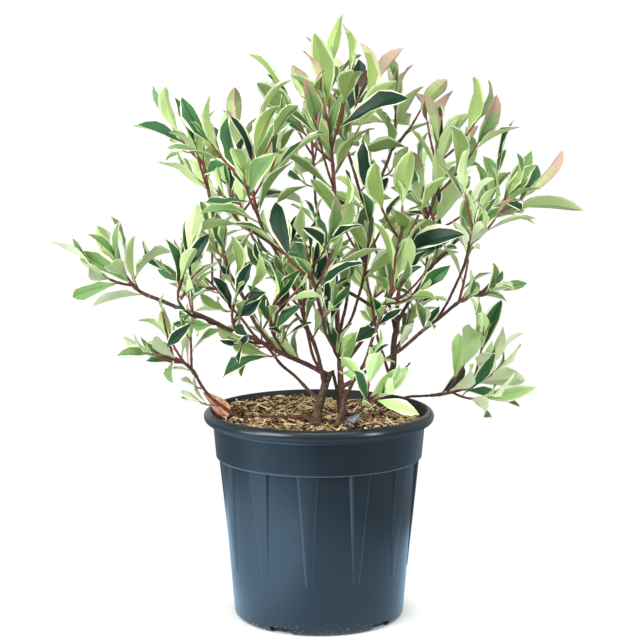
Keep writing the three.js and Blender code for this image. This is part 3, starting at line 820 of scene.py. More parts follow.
leafRule = {
    "spacing": 9,
    "fewest": 4,
    "firstOnStem": 0.14,
    "firstOnTwig": 0.3,
    "last": 0.96,
    "crowding": 1.15,  # closer towards the tip
    "angle": (70, 16),
    "angleSwing": 10,
    "lift": 0.12,
    "roll": 24,
    "length": 60,
    "lengthSwing": (0.8, 1.12),
    "tipShare": 0.9,
    "widthShare": 0.35,
    "fold": 0.16,
    "curl": 0.05,
}

roomRule = {  # clear distances, and where on a leaf they are measured
    "limb": 3.7,
    "leaf": 6,
    "own": 5,
    "ownShare": 0.3,
    "pot": 3,
    "step": 4,
    "ownBoughEnd": 8,
    "midrib": (0.2, 0.34, 0.48, 0.62, 0.76, 0.9, 1),
    "sides": (0.4, 0.55, 0.7, 0.85),
    "sideOut": 0.42,
}


diceRule = {"spread": 2654435761, "factor": 1664525, "step": 1013904223, "span": 2**32}


def makeDice(seed):
    rule = diceRule
    state = seed * rule["spread"] % rule["span"]

    def throw(low, high):
        nonlocal state
        state = (state * rule["factor"] + rule["step"]) % rule["span"]
        return low + (high - low) * state / rule["span"]

    return throw


def lerp(low, high, share):
    return low + (high - low) * share


def unit(way):
    return way / np.linalg.norm(way)


def curvePoint(curve, share):
    return (1 - share) ** 2 * curve[0] + 2 * share * (1 - share) * curve[1] + share**2 * curve[2]


def curveWay(curve, share):
    return unit((1 - share) * (curve[1] - curve[0]) + share * (curve[2] - curve[1]))


def chordOf(curve):
    return float(np.linalg.norm(curve[2] - curve[0]))


def radiusAt(limb, share):
    flaring = 1 + limb["flare"] * math.exp(-share / limbRule["flareReach"])
    return flaring * lerp(*limb["radius"], share)


def turnAbout(way, axis, angle):
    cosine, sine = math.cos(angle), math.sin(angle)
    return way * cosine + np.cross(axis, way) * sine + axis * np.dot(axis, way) * (1 - cosine)


def leaning(axis, angle, turn):
    guide = np.array([1.0, 0, 0]) if abs(axis[2]) > limbRule["nearParallel"] else upWay
    side = unit(np.cross(axis, guide))
    across = np.cross(axis, side)
    spread = math.sin(angle)
    way = axis * math.cos(angle) + side * spread * math.cos(turn)
    return way + across * spread * math.sin(turn)


def axisPlace(limb, share):
    rings = limb["rings"]
    ring = min(int(share * rings), rings - 1)
    start = curvePoint(limb["curve"], ring / rings)
    return lerp(start, curvePoint(limb["curve"], (ring + 1) / rings), share * rings - ring)


def limbSpots(limb):
    count = math.ceil(chordOf(limb["curve"]) / roomRule["step"])
    shares = [i / count for i in range(count + 1)]
    return np.array([(*axisPlace(limb, share), radiusAt(limb, share)) for share in shares])


def growLimbs():
    limbs = {}
    for name, (start, tip, bow, radius) in limbSizes.items():
        rooted = start[0] not in limbSizes
        if rooted:
            foot = np.array([*start, mixSet["level"] - limbRule["sunk"]], float)
        else:
            foot = curvePoint(limbs[start[0]]["curve"], start[1])
        tip = np.array(tip, float)
        middle = (foot + tip) / 2 + 2 * np.array(bow, float)
        limbs[name] = {
            "name": name,
            "number": len(limbs),
            "rooted": rooted,
            "parent": None if rooted else (limbs[start[0]], start[1]),
            "rings": limbRule["rings"],
            "curve": np.array([foot, middle, tip]),
            "radius": radius,
            "flare": limbRule["flare" if rooted else "boughFlare"],
        }
    return limbs


def swayOf(limb, shares):
    rule = limbRule
    dice = makeDice(rule["swayDiceFrom"] + limb["number"])
    along = curveWay(limb["curve"], 0.5)
    waves = max(1, round(chordOf(limb["curve"]) / rule["swayLength"])) * rule["swayRate"]
    offsets = np.zeros((len(shares), 3))
    for turn in (0, math.pi / 2):
        side = leaning(along, math.pi / 2, turn + dice(0, 1))
        size = rule["sway"] * dice(*rule["swaySwing"])
        phase = dice(0, fullTurn)
        wave = np.sin(shares * math.pi * waves + phase) * np.sin(shares * math.pi)
        offsets += wave[:, None] * side * size
    return offsets


def newTwig(curve, radius, rings, first, turn, fine=False):
    twig = {"curve": np.array(curve), "radius": radius, "flare": 0, "rings": rings}
    return {**twig, "first": first, "turn": turn, "fine": fine}


def growTwigs(bough, tip, twigCount, spread, dice):
    rule = twigRule
    along = curveWay(bough["curve"], 1)
    foot = bough["curve"][2] + along * mixSet["gap"]
    tip = np.array(tip, float)
    middle = foot + along * np.linalg.norm(tip - foot) / 2
    radius = (min(radiusAt(bough, 1), rule["stemFootRadius"]), rule["stemTipRadius"])
    first = leafRule["firstOnStem"]
    stem = newTwig([foot, middle, tip], radius, rule["stemRings"], first, dice(0, fullTurn))
    twigs = [stem]
    for i in range(twigCount):
        share = lerp(*rule["stemShare"], (i + dice(*rule["jitter"])) / twigCount)
        angle = math.radians(dice(*rule["angle"]))
        start = axisPlace(stem, share)
        turn = stem["turn"] + (i + 0.5) * rule["goldenTurn"]
        aim = leaning(curveWay(stem["curve"], share), angle, turn)
        length = spread * lerp(*rule["lengthShare"], share) * dice(*rule["lengthSwing"])
        bend = start + aim * length * rule["bend"]
        end = start + aim * length + upWay * length * rule["lift"]
        curve, first = [start, bend, end], leafRule["firstOnTwig"]
        twigs.append(newTwig(curve, rule["radius"], rule["rings"], first, dice(0, fullTurn)))
    return twigs


def newLeaf(root, way, face, length, rank, **facts):
    leaf = {"root": root, "way": way, "face": face, "across": np.cross(way, face)}
    return {**leaf, "length": length, "rank": rank, "young": False, **facts}


def growLeaves(twig, leafSize, dice):
    rule = leafRule
    leaves = []
    leafy = chordOf(twig["curve"]) * (rule["last"] - twig["first"])
    count = max(rule["fewest"], math.floor(leafy / (rule["spacing"] * leafSize) + 0.5))
    for i in reversed(range(count)):
        rank = i / (count - 1)
        share = lerp(twig["first"], rule["last"], 1 - (1 - rank) ** rule["crowding"])
        stemWay = curveWay(twig["curve"], share)
        swing = dice(-rule["angleSwing"], rule["angleSwing"])
        angle = math.radians(lerp(*rule["angle"], rank) + swing)
        lean = leaning(stemWay, angle, twig["turn"] + i * twigRule["goldenTurn"])
        way = unit(lean + upWay * rule["lift"])
        face = unit(stemWay - way * np.dot(stemWay, way))
        face = turnAbout(face, way, math.radians(dice(-rule["roll"], rule["roll"])))
        length = rule["length"] * leafSize * lerp(1, rule["tipShare"], rank)
        length *= dice(*rule["lengthSwing"])
        root = axisPlace(twig, share)
        leaves.append(newLeaf(root, way, face, length, rank, share=share, stemWay=stemWay))
    return leaves


def leafSpots(leaf):
    rule = leafRule
    spots = [(along, 0) for along in roomRule["midrib"]]
    for along in roomRule["sides"]:
        spots += [(along, -roomRule["sideOut"]), (along, roomRule["sideOut"])]
    length = leaf["length"]
    width = length * rule["widthShare"]
    places = []
    for along, out in spots:
        curl = rule["curl"] * length * (1 - (2 * along - 1) ** 2)
        fold = rule["fold"] * width * abs(out) * 2
        place = leaf["root"] + leaf["way"] * along * length + leaf["across"] * out * width
        places.append(place + leaf["face"] * (curl + fold))
    return np.array(places)


def nearAny(spots, others, clearance):
    if not len(others) or not len(spots):
        return False
    gaps = ((spots[:, None, :3] - others[None, :, :3]) ** 2).sum(axis=2)
    return bool((gaps < (clearance + others[:, 3]) ** 2).any())


def meetsPot(spots):
    low = spots[:, 2] < potSet["height"] + roomRule["pot"]
    inside = np.hypot(spots[:, 0], spots[:, 1]) < potSet["rimRadius"] + roomRule["pot"]
    return bool((low & inside).any())


def withRadius(spots, radius):
    return np.column_stack([spots[:, :3], np.full(len(spots), radius)])


def growSprays(limbs):
    room = roomRule
    taken = [(name, limbSpots(limb)) for name, limb in limbs.items()]
    sprays = []
    for number, (boughName, sizes) in enumerate(spraySizes.items()):
        name, tip, twigCount, spread, leafSize = sizes
        dice = makeDice(number + 1)
        bough = limbs[boughName]
        others = []
        for owner, spots in taken:
            if owner == boughName:
                gaps = np.linalg.norm(spots[:, :3] - bough["curve"][2], axis=1)
                spots = spots[gaps > room["ownBoughEnd"]]
            others.append(spots)
        others = np.concatenate(others)
        twigs, leaves = [], []
        own = np.empty((0, 4))
        for twig in growTwigs(bough, tip, twigCount, spread, dice):
            grown = growLeaves(twig, leafSize, dice)
            if twigs and nearAny(limbSpots(twig)[2:], others, room["limb"]):
                continue
            twigs.append(twig)
            twig["nodes"] = [leaf["share"] for leaf in grown]
            for leaf in grown:
                spots = leafSpots(leaf)
                gaps = np.linalg.norm(spots - leaf["root"], axis=1)
                outer = spots[gaps > leaf["length"] * room["ownShare"]]
                blocked = meetsPot(spots) or nearAny(spots, others, room["limb"])
                if blocked or nearAny(outer, own, room["own"]):
                    continue
                leaves.append(leaf)
                own = np.concatenate([own, withRadius(outer, 0)])
        blades = [withRadius(leafSpots(leaf), room["leaf"] - room["limb"]) for leaf in leaves]
        taken += [("", limbSpots(twig)) for twig in twigs] + [("", blade) for blade in blades]
        sprays.append({"name": name, "twigs": twigs, "leaves": leaves, "size": leafSize})
    return sprays, np.concatenate([spots for _, spots in taken])


def countLeaves():
    return sum(len(spray["leaves"]) for spray in sprays)


limbs = growLimbs()
sprays, takenSpots = growSprays(limbs)
print("grown by the rule:", countLeaves(), "leaves")


# Finer growth: short spurs with small leaves, and tufts of young leaves at the tips

fineRule = {
    "twigSpurs": {
        "shares": (0.12, 0.6),
        "count": (0.0, 1.5),
        "length": (8, 17),
        "angle": (42, 62),
        "radius": (0.85, 0.6),
        "leaves": 3,
        "leafSize": (0.42, 0.66),
    },
    "boughSpurs": {
        "shares": (0.42, 0.97),
        "spacing": 56,
        "length": (9, 22),
        "angle": (44, 66),
        "radius": (1.0, 0.7),
        "leaves": 4,
        "leafSize": (0.5, 0.8),
    },
    "lowSpurs": {
        "places": (  # limb, share of its length, spray whose leaves they match
            ("leader", 0.24, "front_shoot"),
            ("leader", 0.3, "low_centre_left"),
            ("leader", 0.35, "low_centre_right"),
            ("far_left", 0.26, "low_centre_left"),
            ("far_left", 0.34, "front_left"),
            ("far_left", 0.12, "low_centre_left"),
            ("left_inner", 0.2, "low_centre_left"),
        ),
        "length": (9, 18),
        "angle": (40, 64),
        "radius": (1.0, 0.7),
        "leaves": 4,
        "leafSize": (0.8, 1.05),
    },
    "noBoughSpurs": ("front_shoot", "low_right_stem"),
    "noTwigSpurs": ("low_right",),
    "clearance": 2.2,
    "takenRadius": 0.5,
    "spurBend": 0.6,
    "spurLift": 0.35,
    "spurFirst": 0.45,
    "fewestLeaves": 2,
    "standUp": 0.2,  # share of the way back towards the stem
    "leastSwing": 0.01,
    "tuftCount": (1.2, 2.9),
    "tuftAngle": (7, 22),
    "tuftSwing": (-0.5, 0.5),
    "tuftLength": (0.3, 0.52),
    "tuftShare": 0.985,
    "tuftLift": 0.1,
    "tuftRank": 1.2,
    "diceFrom": 500,
    "boughDiceFrom": 600,
    "lowDiceFrom": 650,
}


def growTuft(twig, spray, dice):
    rule = fineRule
    root = curvePoint(twig["curve"], rule["tuftShare"])
    along = curveWay(twig["curve"], 1)
    for i in range(int(dice(*rule["tuftCount"]))):
        turn = twig["turn"] + (i + 0.5) * math.pi + dice(*rule["tuftSwing"])
        angle = math.radians(dice(*rule["tuftAngle"]))
        way = unit(leaning(along, angle, turn) + upWay * rule["tuftLift"])
        face = unit(along - way * np.dot(along, way))
        length = leafRule["length"] * spray["size"] * dice(*rule["tuftLength"])
        spray["leaves"].append(newLeaf(root, way, face, length, rule["tuftRank"], young=True))


def growSpur(rule, start, along, spray, dice, own):
    aim = leaning(along, math.radians(dice(*rule["angle"])), dice(0, fullTurn))
    length = dice(*rule["length"])
    bend = start + aim * length * fineRule["spurBend"]
    end = start + aim * length + upWay * length * fineRule["spurLift"]
    curve, first = [start, bend, end], fineRule["spurFirst"]
    spur = newTwig(curve, rule["radius"], twigRule["rings"], first, dice(0, fullTurn), fine=True)
    kept = []
    for leaf in growLeaves(spur, spray["size"] * dice(*rule["leafSize"]), dice)[: rule["leaves"]]:
        spots = leafSpots(leaf)
        if not meetsPot(spots) and not nearAny(spots[2:], own, fineRule["clearance"]):
            kept.append(leaf)
    if len(kept) < fineRule["fewestLeaves"]:
        return own
    spur["nodes"] = [leaf["share"] for leaf in kept]
    spray["twigs"].append(spur)
    spray["leaves"] += kept
    return np.concatenate([own, *[withRadius(leafSpots(leaf), 0) for leaf in kept]])


def growBoughSpur(rule, bough, share, spray, dice, own):
    start = curvePoint(bough["curve"], share) + swayOf(bough, np.array([share]))[0]
    return growSpur(rule, start, curveWay(bough["curve"], share), spray, dice, own)


def growFiner(sprays, own):
    own = withRadius(own, fineRule["takenRadius"])
    rule = fineRule["twigSpurs"]
    for number, spray in enumerate(sprays):
        dice = makeDice(fineRule["diceFrom"] + number)
        for twig in list(spray["twigs"]):
            growTuft(twig, spray, dice)
            if spray["name"] in fineRule["noTwigSpurs"]:
                continue
            for _ in range(int(dice(*rule["count"]))):
                share = dice(*rule["shares"])
                start, along = curvePoint(twig["curve"], share), curveWay(twig["curve"], share)
                own = growSpur(rule, start, along, spray, dice, own)
    rule = fineRule["boughSpurs"]
    for number, (boughName, spray) in enumerate(zip(spraySizes, sprays)):
        if boughName in fineRule["noBoughSpurs"]:
            continue
        dice = makeDice(fineRule["boughDiceFrom"] + number)
        bough = limbs[boughName]
        for _ in range(max(1, round(chordOf(bough["curve"]) / rule["spacing"]))):
            own = growBoughSpur(rule, bough, dice(*rule["shares"]), spray, dice, own)
    rule = fineRule["lowSpurs"]
    named = {spray["name"]: spray for spray in sprays}
    for number, (boughName, share, sprayName) in enumerate(rule["places"]):
        dice = makeDice(fineRule["lowDiceFrom"] + number)
        own = growBoughSpur(rule, limbs[boughName], share, named[sprayName], dice, own)


def standUp(leaf):
    swing = np.cross(leaf["way"], leaf["stemWay"])
    if np.linalg.norm(swing) < fineRule["leastSwing"]:
        return
    angle = math.acos(np.clip(np.dot(leaf["way"], leaf["stemWay"]), -1, 1)) * fineRule["standUp"]
    leaf["way"] = turnAbout(leaf["way"], unit(swing), angle)
    leaf["face"] = turnAbout(leaf["face"], unit(swing), angle)
    leaf["across"] = np.cross(leaf["way"], leaf["face"])


growFiner(sprays, takenSpots)
for spray in sprays:
    for leaf in spray["leaves"]:
        if not leaf["young"]:
            standUp(leaf)
print("with finer growth:", countLeaves(), "leaves")


# Stems and boughs: bent, tapering curves turned to mesh, with the bark's relief

woodSet = {
    "pointStep": 3.0,
    "fewestPoints": 8,
    "bevelSides": 4,
    "knuckle": 0.12,
    "knuckleSwing": (0.4, 1),
    "knucklePlaces": (0.08, 0.95),
    "knuckleSpacing": 8,  # in points of the curve
    "knuckleReach": 1.1,
    "fewestKnuckles": 2,
    "knuckleDiceFrom": 700,
    "blendFrom": 0.86,  # thins to the spray's stem from here
    "collarReach": 9,  # swelling where a bough leaves its parent
    "collarShare": 0.85,
    "roundFrom": 0.9,  # a bare tip is rounded off
    "roundTo": 0.97,
    "surfaceStem": "low_left_stem",
    "surfaceRise": 4.0,
    "surfaceLead": (0.12, 0.4, 0.7),  # shares of the way from the trunk's foot
    "slimmed": {
        "leader": 0.72,
        "trunk": 0.76,
        "rear_stem": 0.86,
        "low_left_stem": 0.72,
        "low_right_stem": 0.7,
    },
    "youngStems": ("leader", "low_left_stem", "low_right_stem"),  # as brown as the boughs
    "boughSlimmed": (0.7, 0.96),  # at foot and tip
    "oldStems": [  # thin, leafless stems by the trunk's foot: foot, bend, tip, radius at both ends
        ((6, -46, 186), (24, -40, 198), (26, -24, 228), (3.4, 2.6)),
        ((20, -12, 186), (21, -14, 216), (13, -18, 246), (2.2, 1.6)),
        ((60, 56, 206), (72, 54, 220), (92, 52, 242), (1.2, 0.9)),
        ((24, -23, 212), (29, -27, 221), (29, -28, 234), (0.9, 0.6)),
    ],
    "oldStemPoints": 15,
    "levels": 1,
    "merge": 0.001,
    "smoothAngle": 80,
    "bark": {
        "roughness": 0.8,
        "specular": 0.3,
        "spread": (0.62, 0.9),
        "bump": (0.6, 0.8),
    },
    "kinds": {
        "stems": {
            "relief": {"strength": 1.5, "scale": 0.0045, "depth": 3},
            "grain": (420, 6, 0.65),
            "stops": [(0.3, tint(38, 30, 22)), (0.5, tint(72, 58, 44)), (0.7, tint(118, 100, 80))],
        },
        "boughs": {
            "relief": {"strength": 0.7, "scale": 0.004, "depth": 3},
            "grain": (520, 6, 0.65),
            "stops": [(0.3, tint(44, 29, 26)), (0.5, tint(84, 54, 47)), (0.72, tint(136, 98, 84))],
        },
    },
}


def limbLine(limb):
    look = woodSet
    length = chordOf(limb["curve"])
    count = max(look["fewestPoints"], math.ceil(length / look["pointStep"]))
    shares = np.linspace(0, 1, count + 1)
    points = np.array([curvePoint(limb["curve"], share) for share in shares])
    points += swayOf(limb, shares)
    radii = np.array([radiusAt(limb, share) for share in shares])
    dice = makeDice(look["knuckleDiceFrom"] + limb["number"])
    for _ in range(max(look["fewestKnuckles"], count // look["knuckleSpacing"])):
        away = (shares - dice(*look["knucklePlaces"])) * count / look["knuckleReach"]
        radii *= 1 + look["knuckle"] * dice(*look["knuckleSwing"]) * np.exp(-(away**2))
    if limb["parent"]:
        wide = look["collarShare"] * radiusAt(*limb["parent"])
        away = shares * length / look["collarReach"]
        radii += np.maximum(wide - radii, 0) * np.exp(-(away**2))
    if limb["name"] in spraySizes:
        end = np.clip((shares - look["blendFrom"]) / (1 - look["blendFrom"]), 0, 1)
        radii += (np.minimum(radii, twigRule["stemFootRadius"]) - radii) * end**2
    else:
        end = np.clip((shares - look["roundFrom"]) / (1 - look["roundFrom"]), 0, look["roundTo"])
        radii *= np.sqrt(1 - end**2)
    usual = 1 if limb["rooted"] else lerp(*look["boughSlimmed"], shares)
    return points, radii * look["slimmed"].get(limb["name"], usual)


def layOnMix(points, radii):
    floor = mixSet["level"] + woodSet["surfaceRise"]
    points[:, 2] = np.maximum(points[:, 2], floor)
    foot = limbs["trunk"]["curve"][0]
    lead = np.array([lerp(foot, points[0], share) for share in woodSet["surfaceLead"]])
    lead[:, 2] = floor
    thick = radii[len(lead)]
    points = np.concatenate([lead, points])
    return points, np.concatenate([np.full(len(lead), thick), np.minimum(radii, thick)])


def tubeFromLine(name, points, radii):
    data = bpy.data.curves.new(name, "CURVE")
    data.dimensions = "3D"
    data.bevel_depth = mm
    data.bevel_resolution = woodSet["bevelSides"]
    data.use_fill_caps = True
    spline = data.splines.new("POLY")
    spline.points.add(len(points) - 1)
    for point, place, radius in zip(spline.points, points, radii):
        point.co = (*(place * mm), 1)
        point.radius = radius
    takeUp(placeObject(name, data))
    bpy.ops.object.convert(target="MESH")
    return bpy.context.object


def makeWood():
    lines = {name: limbLine(limb) for name, limb in limbs.items()}
    lines[woodSet["surfaceStem"]] = layOnMix(*lines[woodSet["surfaceStem"]])
    shares = np.linspace(0, 1, woodSet["oldStemPoints"])
    for number, (*curve, radius) in enumerate(woodSet["oldStems"]):
        points = np.array([curvePoint(np.array(curve, float), share) for share in shares])
        lines[f"oldStem{number}"] = (points, lerp(*radius, shares))
    rooted = [name for name, limb in limbs.items() if limb["rooted"]]
    boughs = [name for name in limbs if name in woodSet["youngStems"] or name not in rooted]
    woods = {"stems": [name for name in lines if name not in boughs], "boughs": boughs}
    for kind, names in woods.items():
        look = woodSet["kinds"][kind]
        piece = joinPieces([tubeFromLine(name, *lines[name]) for name in names], kind)
        subdivide(piece, woodSet["levels"])
        addRelief(piece, kind + "Relief", look["relief"])
        closeMesh(piece, woodSet["merge"])
        bark = {**woodSet["bark"], "grain": look["grain"]}
        coat(piece, grainMaterial(kind + "Bark", look["stops"][0][1], bark, look["stops"]))
        smoothByAngle(piece, woodSet["smoothAngle"])
        nodes = [name if name in rooted else "bough_" + name for name in names if name in limbs]
        standFor(piece, "bark", *nodes)
        print(kind, "made:", len(piece.data.polygons), "faces")


makeWood()


# Twigs: slim tubes with a swelling at each leaf, brown below and red towards the tip

twigSet = {
    "sides": 7,
    "ringStep": 3.2,
    "fewestRings": 4,
    "swelling": 0.3,
    "swellingReach": 1.3,
    "brownBelow": 0.2,
    "freshAbove": 0.86,
    "smoothAngle": 60,
    "surface": {
        "roughness": 0.55,
        "specular": 0.4,
        "grain": (650, 4),
        "spread": (0.42, 0.68),
        "bump": (0.35, 0.35),
    },
    "colours": {
        "twigBrown": tint(84, 54, 46),
        "twigRed": tint(112, 60, 51),
        "twigFresh": tint(142, 96, 74),
    },
}


def twigTube(twig, points, faces, slots):
    look = twigSet
    sides = look["sides"]
    brown, red, fresh = range(len(look["colours"]))
    curve = twig["curve"]
    length = chordOf(curve)
    count = max(look["fewestRings"], math.ceil(length / look["ringStep"]))
    first = len(points)
    guide = leaning(curveWay(curve, 0), math.pi / 2, 0)
    for i in range(count + 1):
        share = i / count
        along = curveWay(curve, share)
        guide = unit(guide - along * np.dot(guide, along))
        across = np.cross(along, guide)
        gaps = [(share - node) * length / look["swellingReach"] for node in twig["nodes"]]
        swelling = min(1, sum(math.exp(-(gap**2)) for gap in gaps))
        radius = radiusAt(twig, share) * (1 + look["swelling"] * swelling)
        middle = curvePoint(curve, share)
        for side in range(sides):
            angle = fullTurn * side / sides
            points.append(middle + (guide * math.cos(angle) + across * math.sin(angle)) * radius)
    faces += tubeFaces(first, sides, count + 1)
    for i in range(count):
        share = (i + 0.5) / count
        tipward = share > look["freshAbove"] or twig["fine"]
        slots += [fresh if tipward else brown if share < look["brownBelow"] else red] * sides
    slots += [brown, fresh]


def makeTwigs():
    points, faces, slots = [], [], []
    for spray in sprays:
        for twig in spray["twigs"]:
            twigTube(twig, points, faces, slots)
    colours = twigSet["colours"].items()
    materials = [grainMaterial(name, colour, twigSet["surface"]) for name, colour in colours]
    twigs = meshFromArrays("twigs", points, faces, slots, materials)
    smoothByAngle(twigs, twigSet["smoothAngle"])
    standFor(twigs, "bark")
    print("twigs made:", len(faces), "faces")


makeTwigs()


# Leaves: folded, wavy blades with cream margins, pale below, pink where young

leafSet = {
    "shape": {
        "stations": (0, 0.08, 0.2, 0.36, 0.53, 0.7, 0.85, 0.95),
        "bladeFrom": 0.08,  # where the stalk ends
        "bladeReach": 0.3,
        "baseTaper": (1.0, 1.35),
        "tipTaper": (0.8, 1.1),
        "innerGain": 1.12,
        "outerGain": 1.04,
        "outerFrom": 0.6,
        "petioleHalf": 0.8,
        "fullPetiole": 40,  # a shorter leaf has a thinner stalk
        "petioleRound": 0.7,
        "thickness": 0.3,
        "grooveShare": 0.4,
        "rib": 0.6,
        "fold": (0.18, 0.7),
        "curl": (0.02, 0.085),
        "tipDrop": (0.0, 0.1),
        "dropFrom": 0.6,
        "wave": (0.01, 0.04),
        "waves": 1.7,
        "waveShift": 1.1,
        "twist": (-22, 22),
        "twistFrom": 0.15,
        "sway": (-0.06, 0.06),
        "widthSwing": (0.76, 1.1),
        "youngWidth": 0.68,
        "youngFold": (0.5, 0.9),
        "creamWidth": (0.6, 0.95),  # where the margin starts, as a share of the half width
        "ragged": (0.93, 1.05),
        "diceFrom": 330,
        "smoothAngle": 24,  # keeps the midrib crisp
    },
    "tones": {
        "columns": ("edge", "top", "top", "edge", "underEdge", "under", "under", "underEdge"),
        "pinkFrom": 330,  # pinker with height, from here
        "pinkSpan": 170,
        "pinkRank": 0.74,  # only as near to the twig's tip as this
        "pinkChance": (0.03, 0.4),
        "youngPinkChance": (0.06, 0.5),
        "pinkStations": (5, 8.999),
        "youngPinkStations": (2, 4.999),
        "pinkTops": ("blushTop", "rosyTop"),  # two stations and one before the pink
        "pinkOthers": ("blush", "rosy"),
        "marginLead": 2,  # margins turn pink first
        "bronzeAbove": 0.6,
        "moods": {
            "dark": (
                "middle",
                "centre",
                "centre_right",
                "centre_front",
                "rear_inner",
                "upper_middle",
                "front_left",
            ),
            "pale": ("upper_left", "right", "far_right", "upper_right"),
            "cream": ("low_left", "far_left", "right_middle", "right_fork"),
            # mint mood: pale leaves, made paler still as painted light shining through them from
            # behind
            "mint": ("low_right", "front_shoot"),
            "fresh": ("top", "upper_left_front"),
        },
        "rosySprays": ("upper_right", "right"),
        "rosyGain": 2.6,
        "topShares": {  # deep green up to the first, green up to the second
            "dark": (0.8, 0.97),
            "plain": (0.46, 0.76),
            "pale": (0.1, 0.46),
            "cream": (0.0, 0.2),
            "mint": (0.03, 0.3),
            "fresh": (0.16, 0.55),
        },
        "outerRank": 0.45,
        "outerShares": (0.75, 0.88),
        "creamEdgeBelow": 0.72,
        "paleEdgeBelow": 0.35,
        "paleEdgeMoods": ("cream", "mint"),
        "redStalkAbove": 0.4,
        "unders": {
            "dark": ("underGreen", "underOlive", "underPale", "underGreen"),
            "plain": ("underGreen", "underPale", "underOlive", "underPale"),
            "pale": ("underPale", "underGreen", "underPale", "underGreen"),
            "cream": ("underCream", "underPale", "underCream", "underPale"),
            "fresh": ("underOlive", "underMoss", "underGreen", "underOlive"),
            "mint": ("underMintBacklit", "underCream", "underMintBacklit", "underMintBacklit"),
        },
        "softTops": {"mint": "topMintBacklit"},
        "youngTones": {
            "top": "topSoft",
            "edge": "topLime",
            "under": "underPale",
            "stalk": "stalkGreen",
        },
    },
    "surface": {
        "specular": 0.36,
        "grain": (160, 3),
        "spread": (-0.06, 0.1),
        "veinLean": 0.5,
        "veinCount": 62,
        "veinSharpness": 6,
        "veinHeight": 0.35,
        "ribSlope": 24,
        "bump": (0.5, 0.5),
    },
    "colours": {  # colour, roughness, and whether the midrib is a groove
        "topDeep": (tint(15, 54, 36), 0.42, True),
        "topGreen": (tint(50, 98, 52), 0.42, True),
        "topSoft": (tint(108, 142, 84), 0.38, True),
        "topCream": (tint(230, 234, 200), 0.42, True),
        "topLime": (tint(190, 210, 138), 0.42, True),
        # the two mint colours: pale leaves with painted light shining through them from behind
        "topMintBacklit": (tint(178, 214, 136), 0.42, True),
        "underMintBacklit": (tint(204, 236, 168), 0.55, False),
        "underCream": (tint(214, 228, 184), 0.55, False),
        "underPale": (tint(186, 210, 142), 0.55, False),
        "underGreen": (tint(160, 186, 110), 0.55, False),
        "underOlive": (tint(138, 164, 88), 0.55, False),
        "underMoss": (tint(120, 144, 84), 0.55, False),
        "underEdge": (tint(224, 234, 198), 0.55, False),
        "underRim": (tint(202, 218, 162), 0.55, False),
        "pinkTop": (tint(160, 124, 108), 0.4, True),
        "pinkUnder": (tint(194, 162, 142), 0.5, False),
        "blush": (tint(184, 190, 138), 0.5, False),
        "rosy": (tint(190, 176, 142), 0.5, False),
        "blushTop": (tint(128, 140, 92), 0.4, True),
        "rosyTop": (tint(146, 132, 100), 0.4, True),
        "bronze": (tint(120, 92, 72), 0.4, False),
        "petiole": (tint(158, 112, 78), 0.5, False),
        "stalkGreen": (tint(168, 176, 110), 0.5, False),
    },
}


def leafMaterial(name, colour, roughness, grooved):
    look = leafSet["surface"]
    material, shader = newMaterial(name, colour, roughness, look["specular"])
    spread = [roughness + change for change in look["spread"]]
    spreadRoughness(material, shader, addNoise(material, *look["grain"]), *spread)
    leafMap = addNode(material, "ShaderNodeUVMap", uv_map="leafMap").outputs["UV"]
    place = splitPlace(material, leafMap)
    out = addMath(material, "ABSOLUTE", addMath(material, "SUBTRACT", place["X"], 0.5))
    lean = addMath(material, "MULTIPLY", out, look["veinLean"])
    chevron = addMath(material, "SUBTRACT", place["Y"], lean)
    veins = addMath(material, "SINE", addMath(material, "MULTIPLY", chevron, look["veinCount"]))
    veins = addMath(material, "POWER", addMath(material, "ABSOLUTE", veins), look["veinSharpness"])
    veins = addMath(material, "MULTIPLY", veins, look["veinHeight"])
    rib = addMath(material, "SUBTRACT", 1.0, addMath(material, "MULTIPLY", out, look["ribSlope"]))
    rib = addMath(material, "MAXIMUM", rib, 0)
    addBump(material, shader, addMath(material, "ADD", veins, rib), *look["bump"], grooved)
    return material


def paletteOf(leaf, spray, dice):
    rule, young = leafSet["tones"], leaf["young"]
    height = min(1, max(0, (leaf["root"][2] - rule["pinkFrom"]) / rule["pinkSpan"]))
    pick, mood = dice(0, 1), dice(0, 1)
    chance = rule["youngPinkChance" if young else "pinkChance"]
    gain = rule["rosyGain"] if spray["name"] in rule["rosySprays"] else 1
    pink = leaf["rank"] > rule["pinkRank"] and pick < gain * lerp(*chance, height)
    deep, green = rule["topShares"][spray["mood"]]
    if leaf["rank"] > rule["outerRank"]:
        deep, green = deep * rule["outerShares"][0], green * rule["outerShares"][1]
    soft = rule["softTops"].get(spray["mood"], "topSoft")
    unders = rule["unders"][spray["mood"]]
    paleEdge = mood < rule["paleEdgeBelow"] or spray["mood"] in rule["paleEdgeMoods"]
    palette = {
        "top": "topDeep" if mood < deep else "topGreen" if mood < green else soft,
        "edge": "topCream" if mood < rule["creamEdgeBelow"] else "topLime",
        "under": unders[int(dice(0, len(unders) - 0.001))],
        "underEdge": "underEdge" if paleEdge else "underRim",
        "stalk": "petiole" if mood > rule["redStalkAbove"] else "stalkGreen",
    }
    if young:
        palette.update(rule["youngTones"])
    if pink:
        bronze = young and mood > rule["bronzeAbove"]
        palette.update({"top": "topSoft", "stalk": "petiole"})
        palette["tipTop"] = "bronze" if bronze else "pinkTop"
        palette["tipUnder"] = "bronze" if bronze else "pinkUnder"
    return palette


def outlineAt(share, base, tip):
    start = leafSet["shape"]["bladeFrom"]
    blade = np.clip((share - start) / (1 - start), 0, 1)
    widest = base / (base + tip)
    return blade**base * (1 - blade) ** tip / (widest**base * (1 - widest) ** tip)


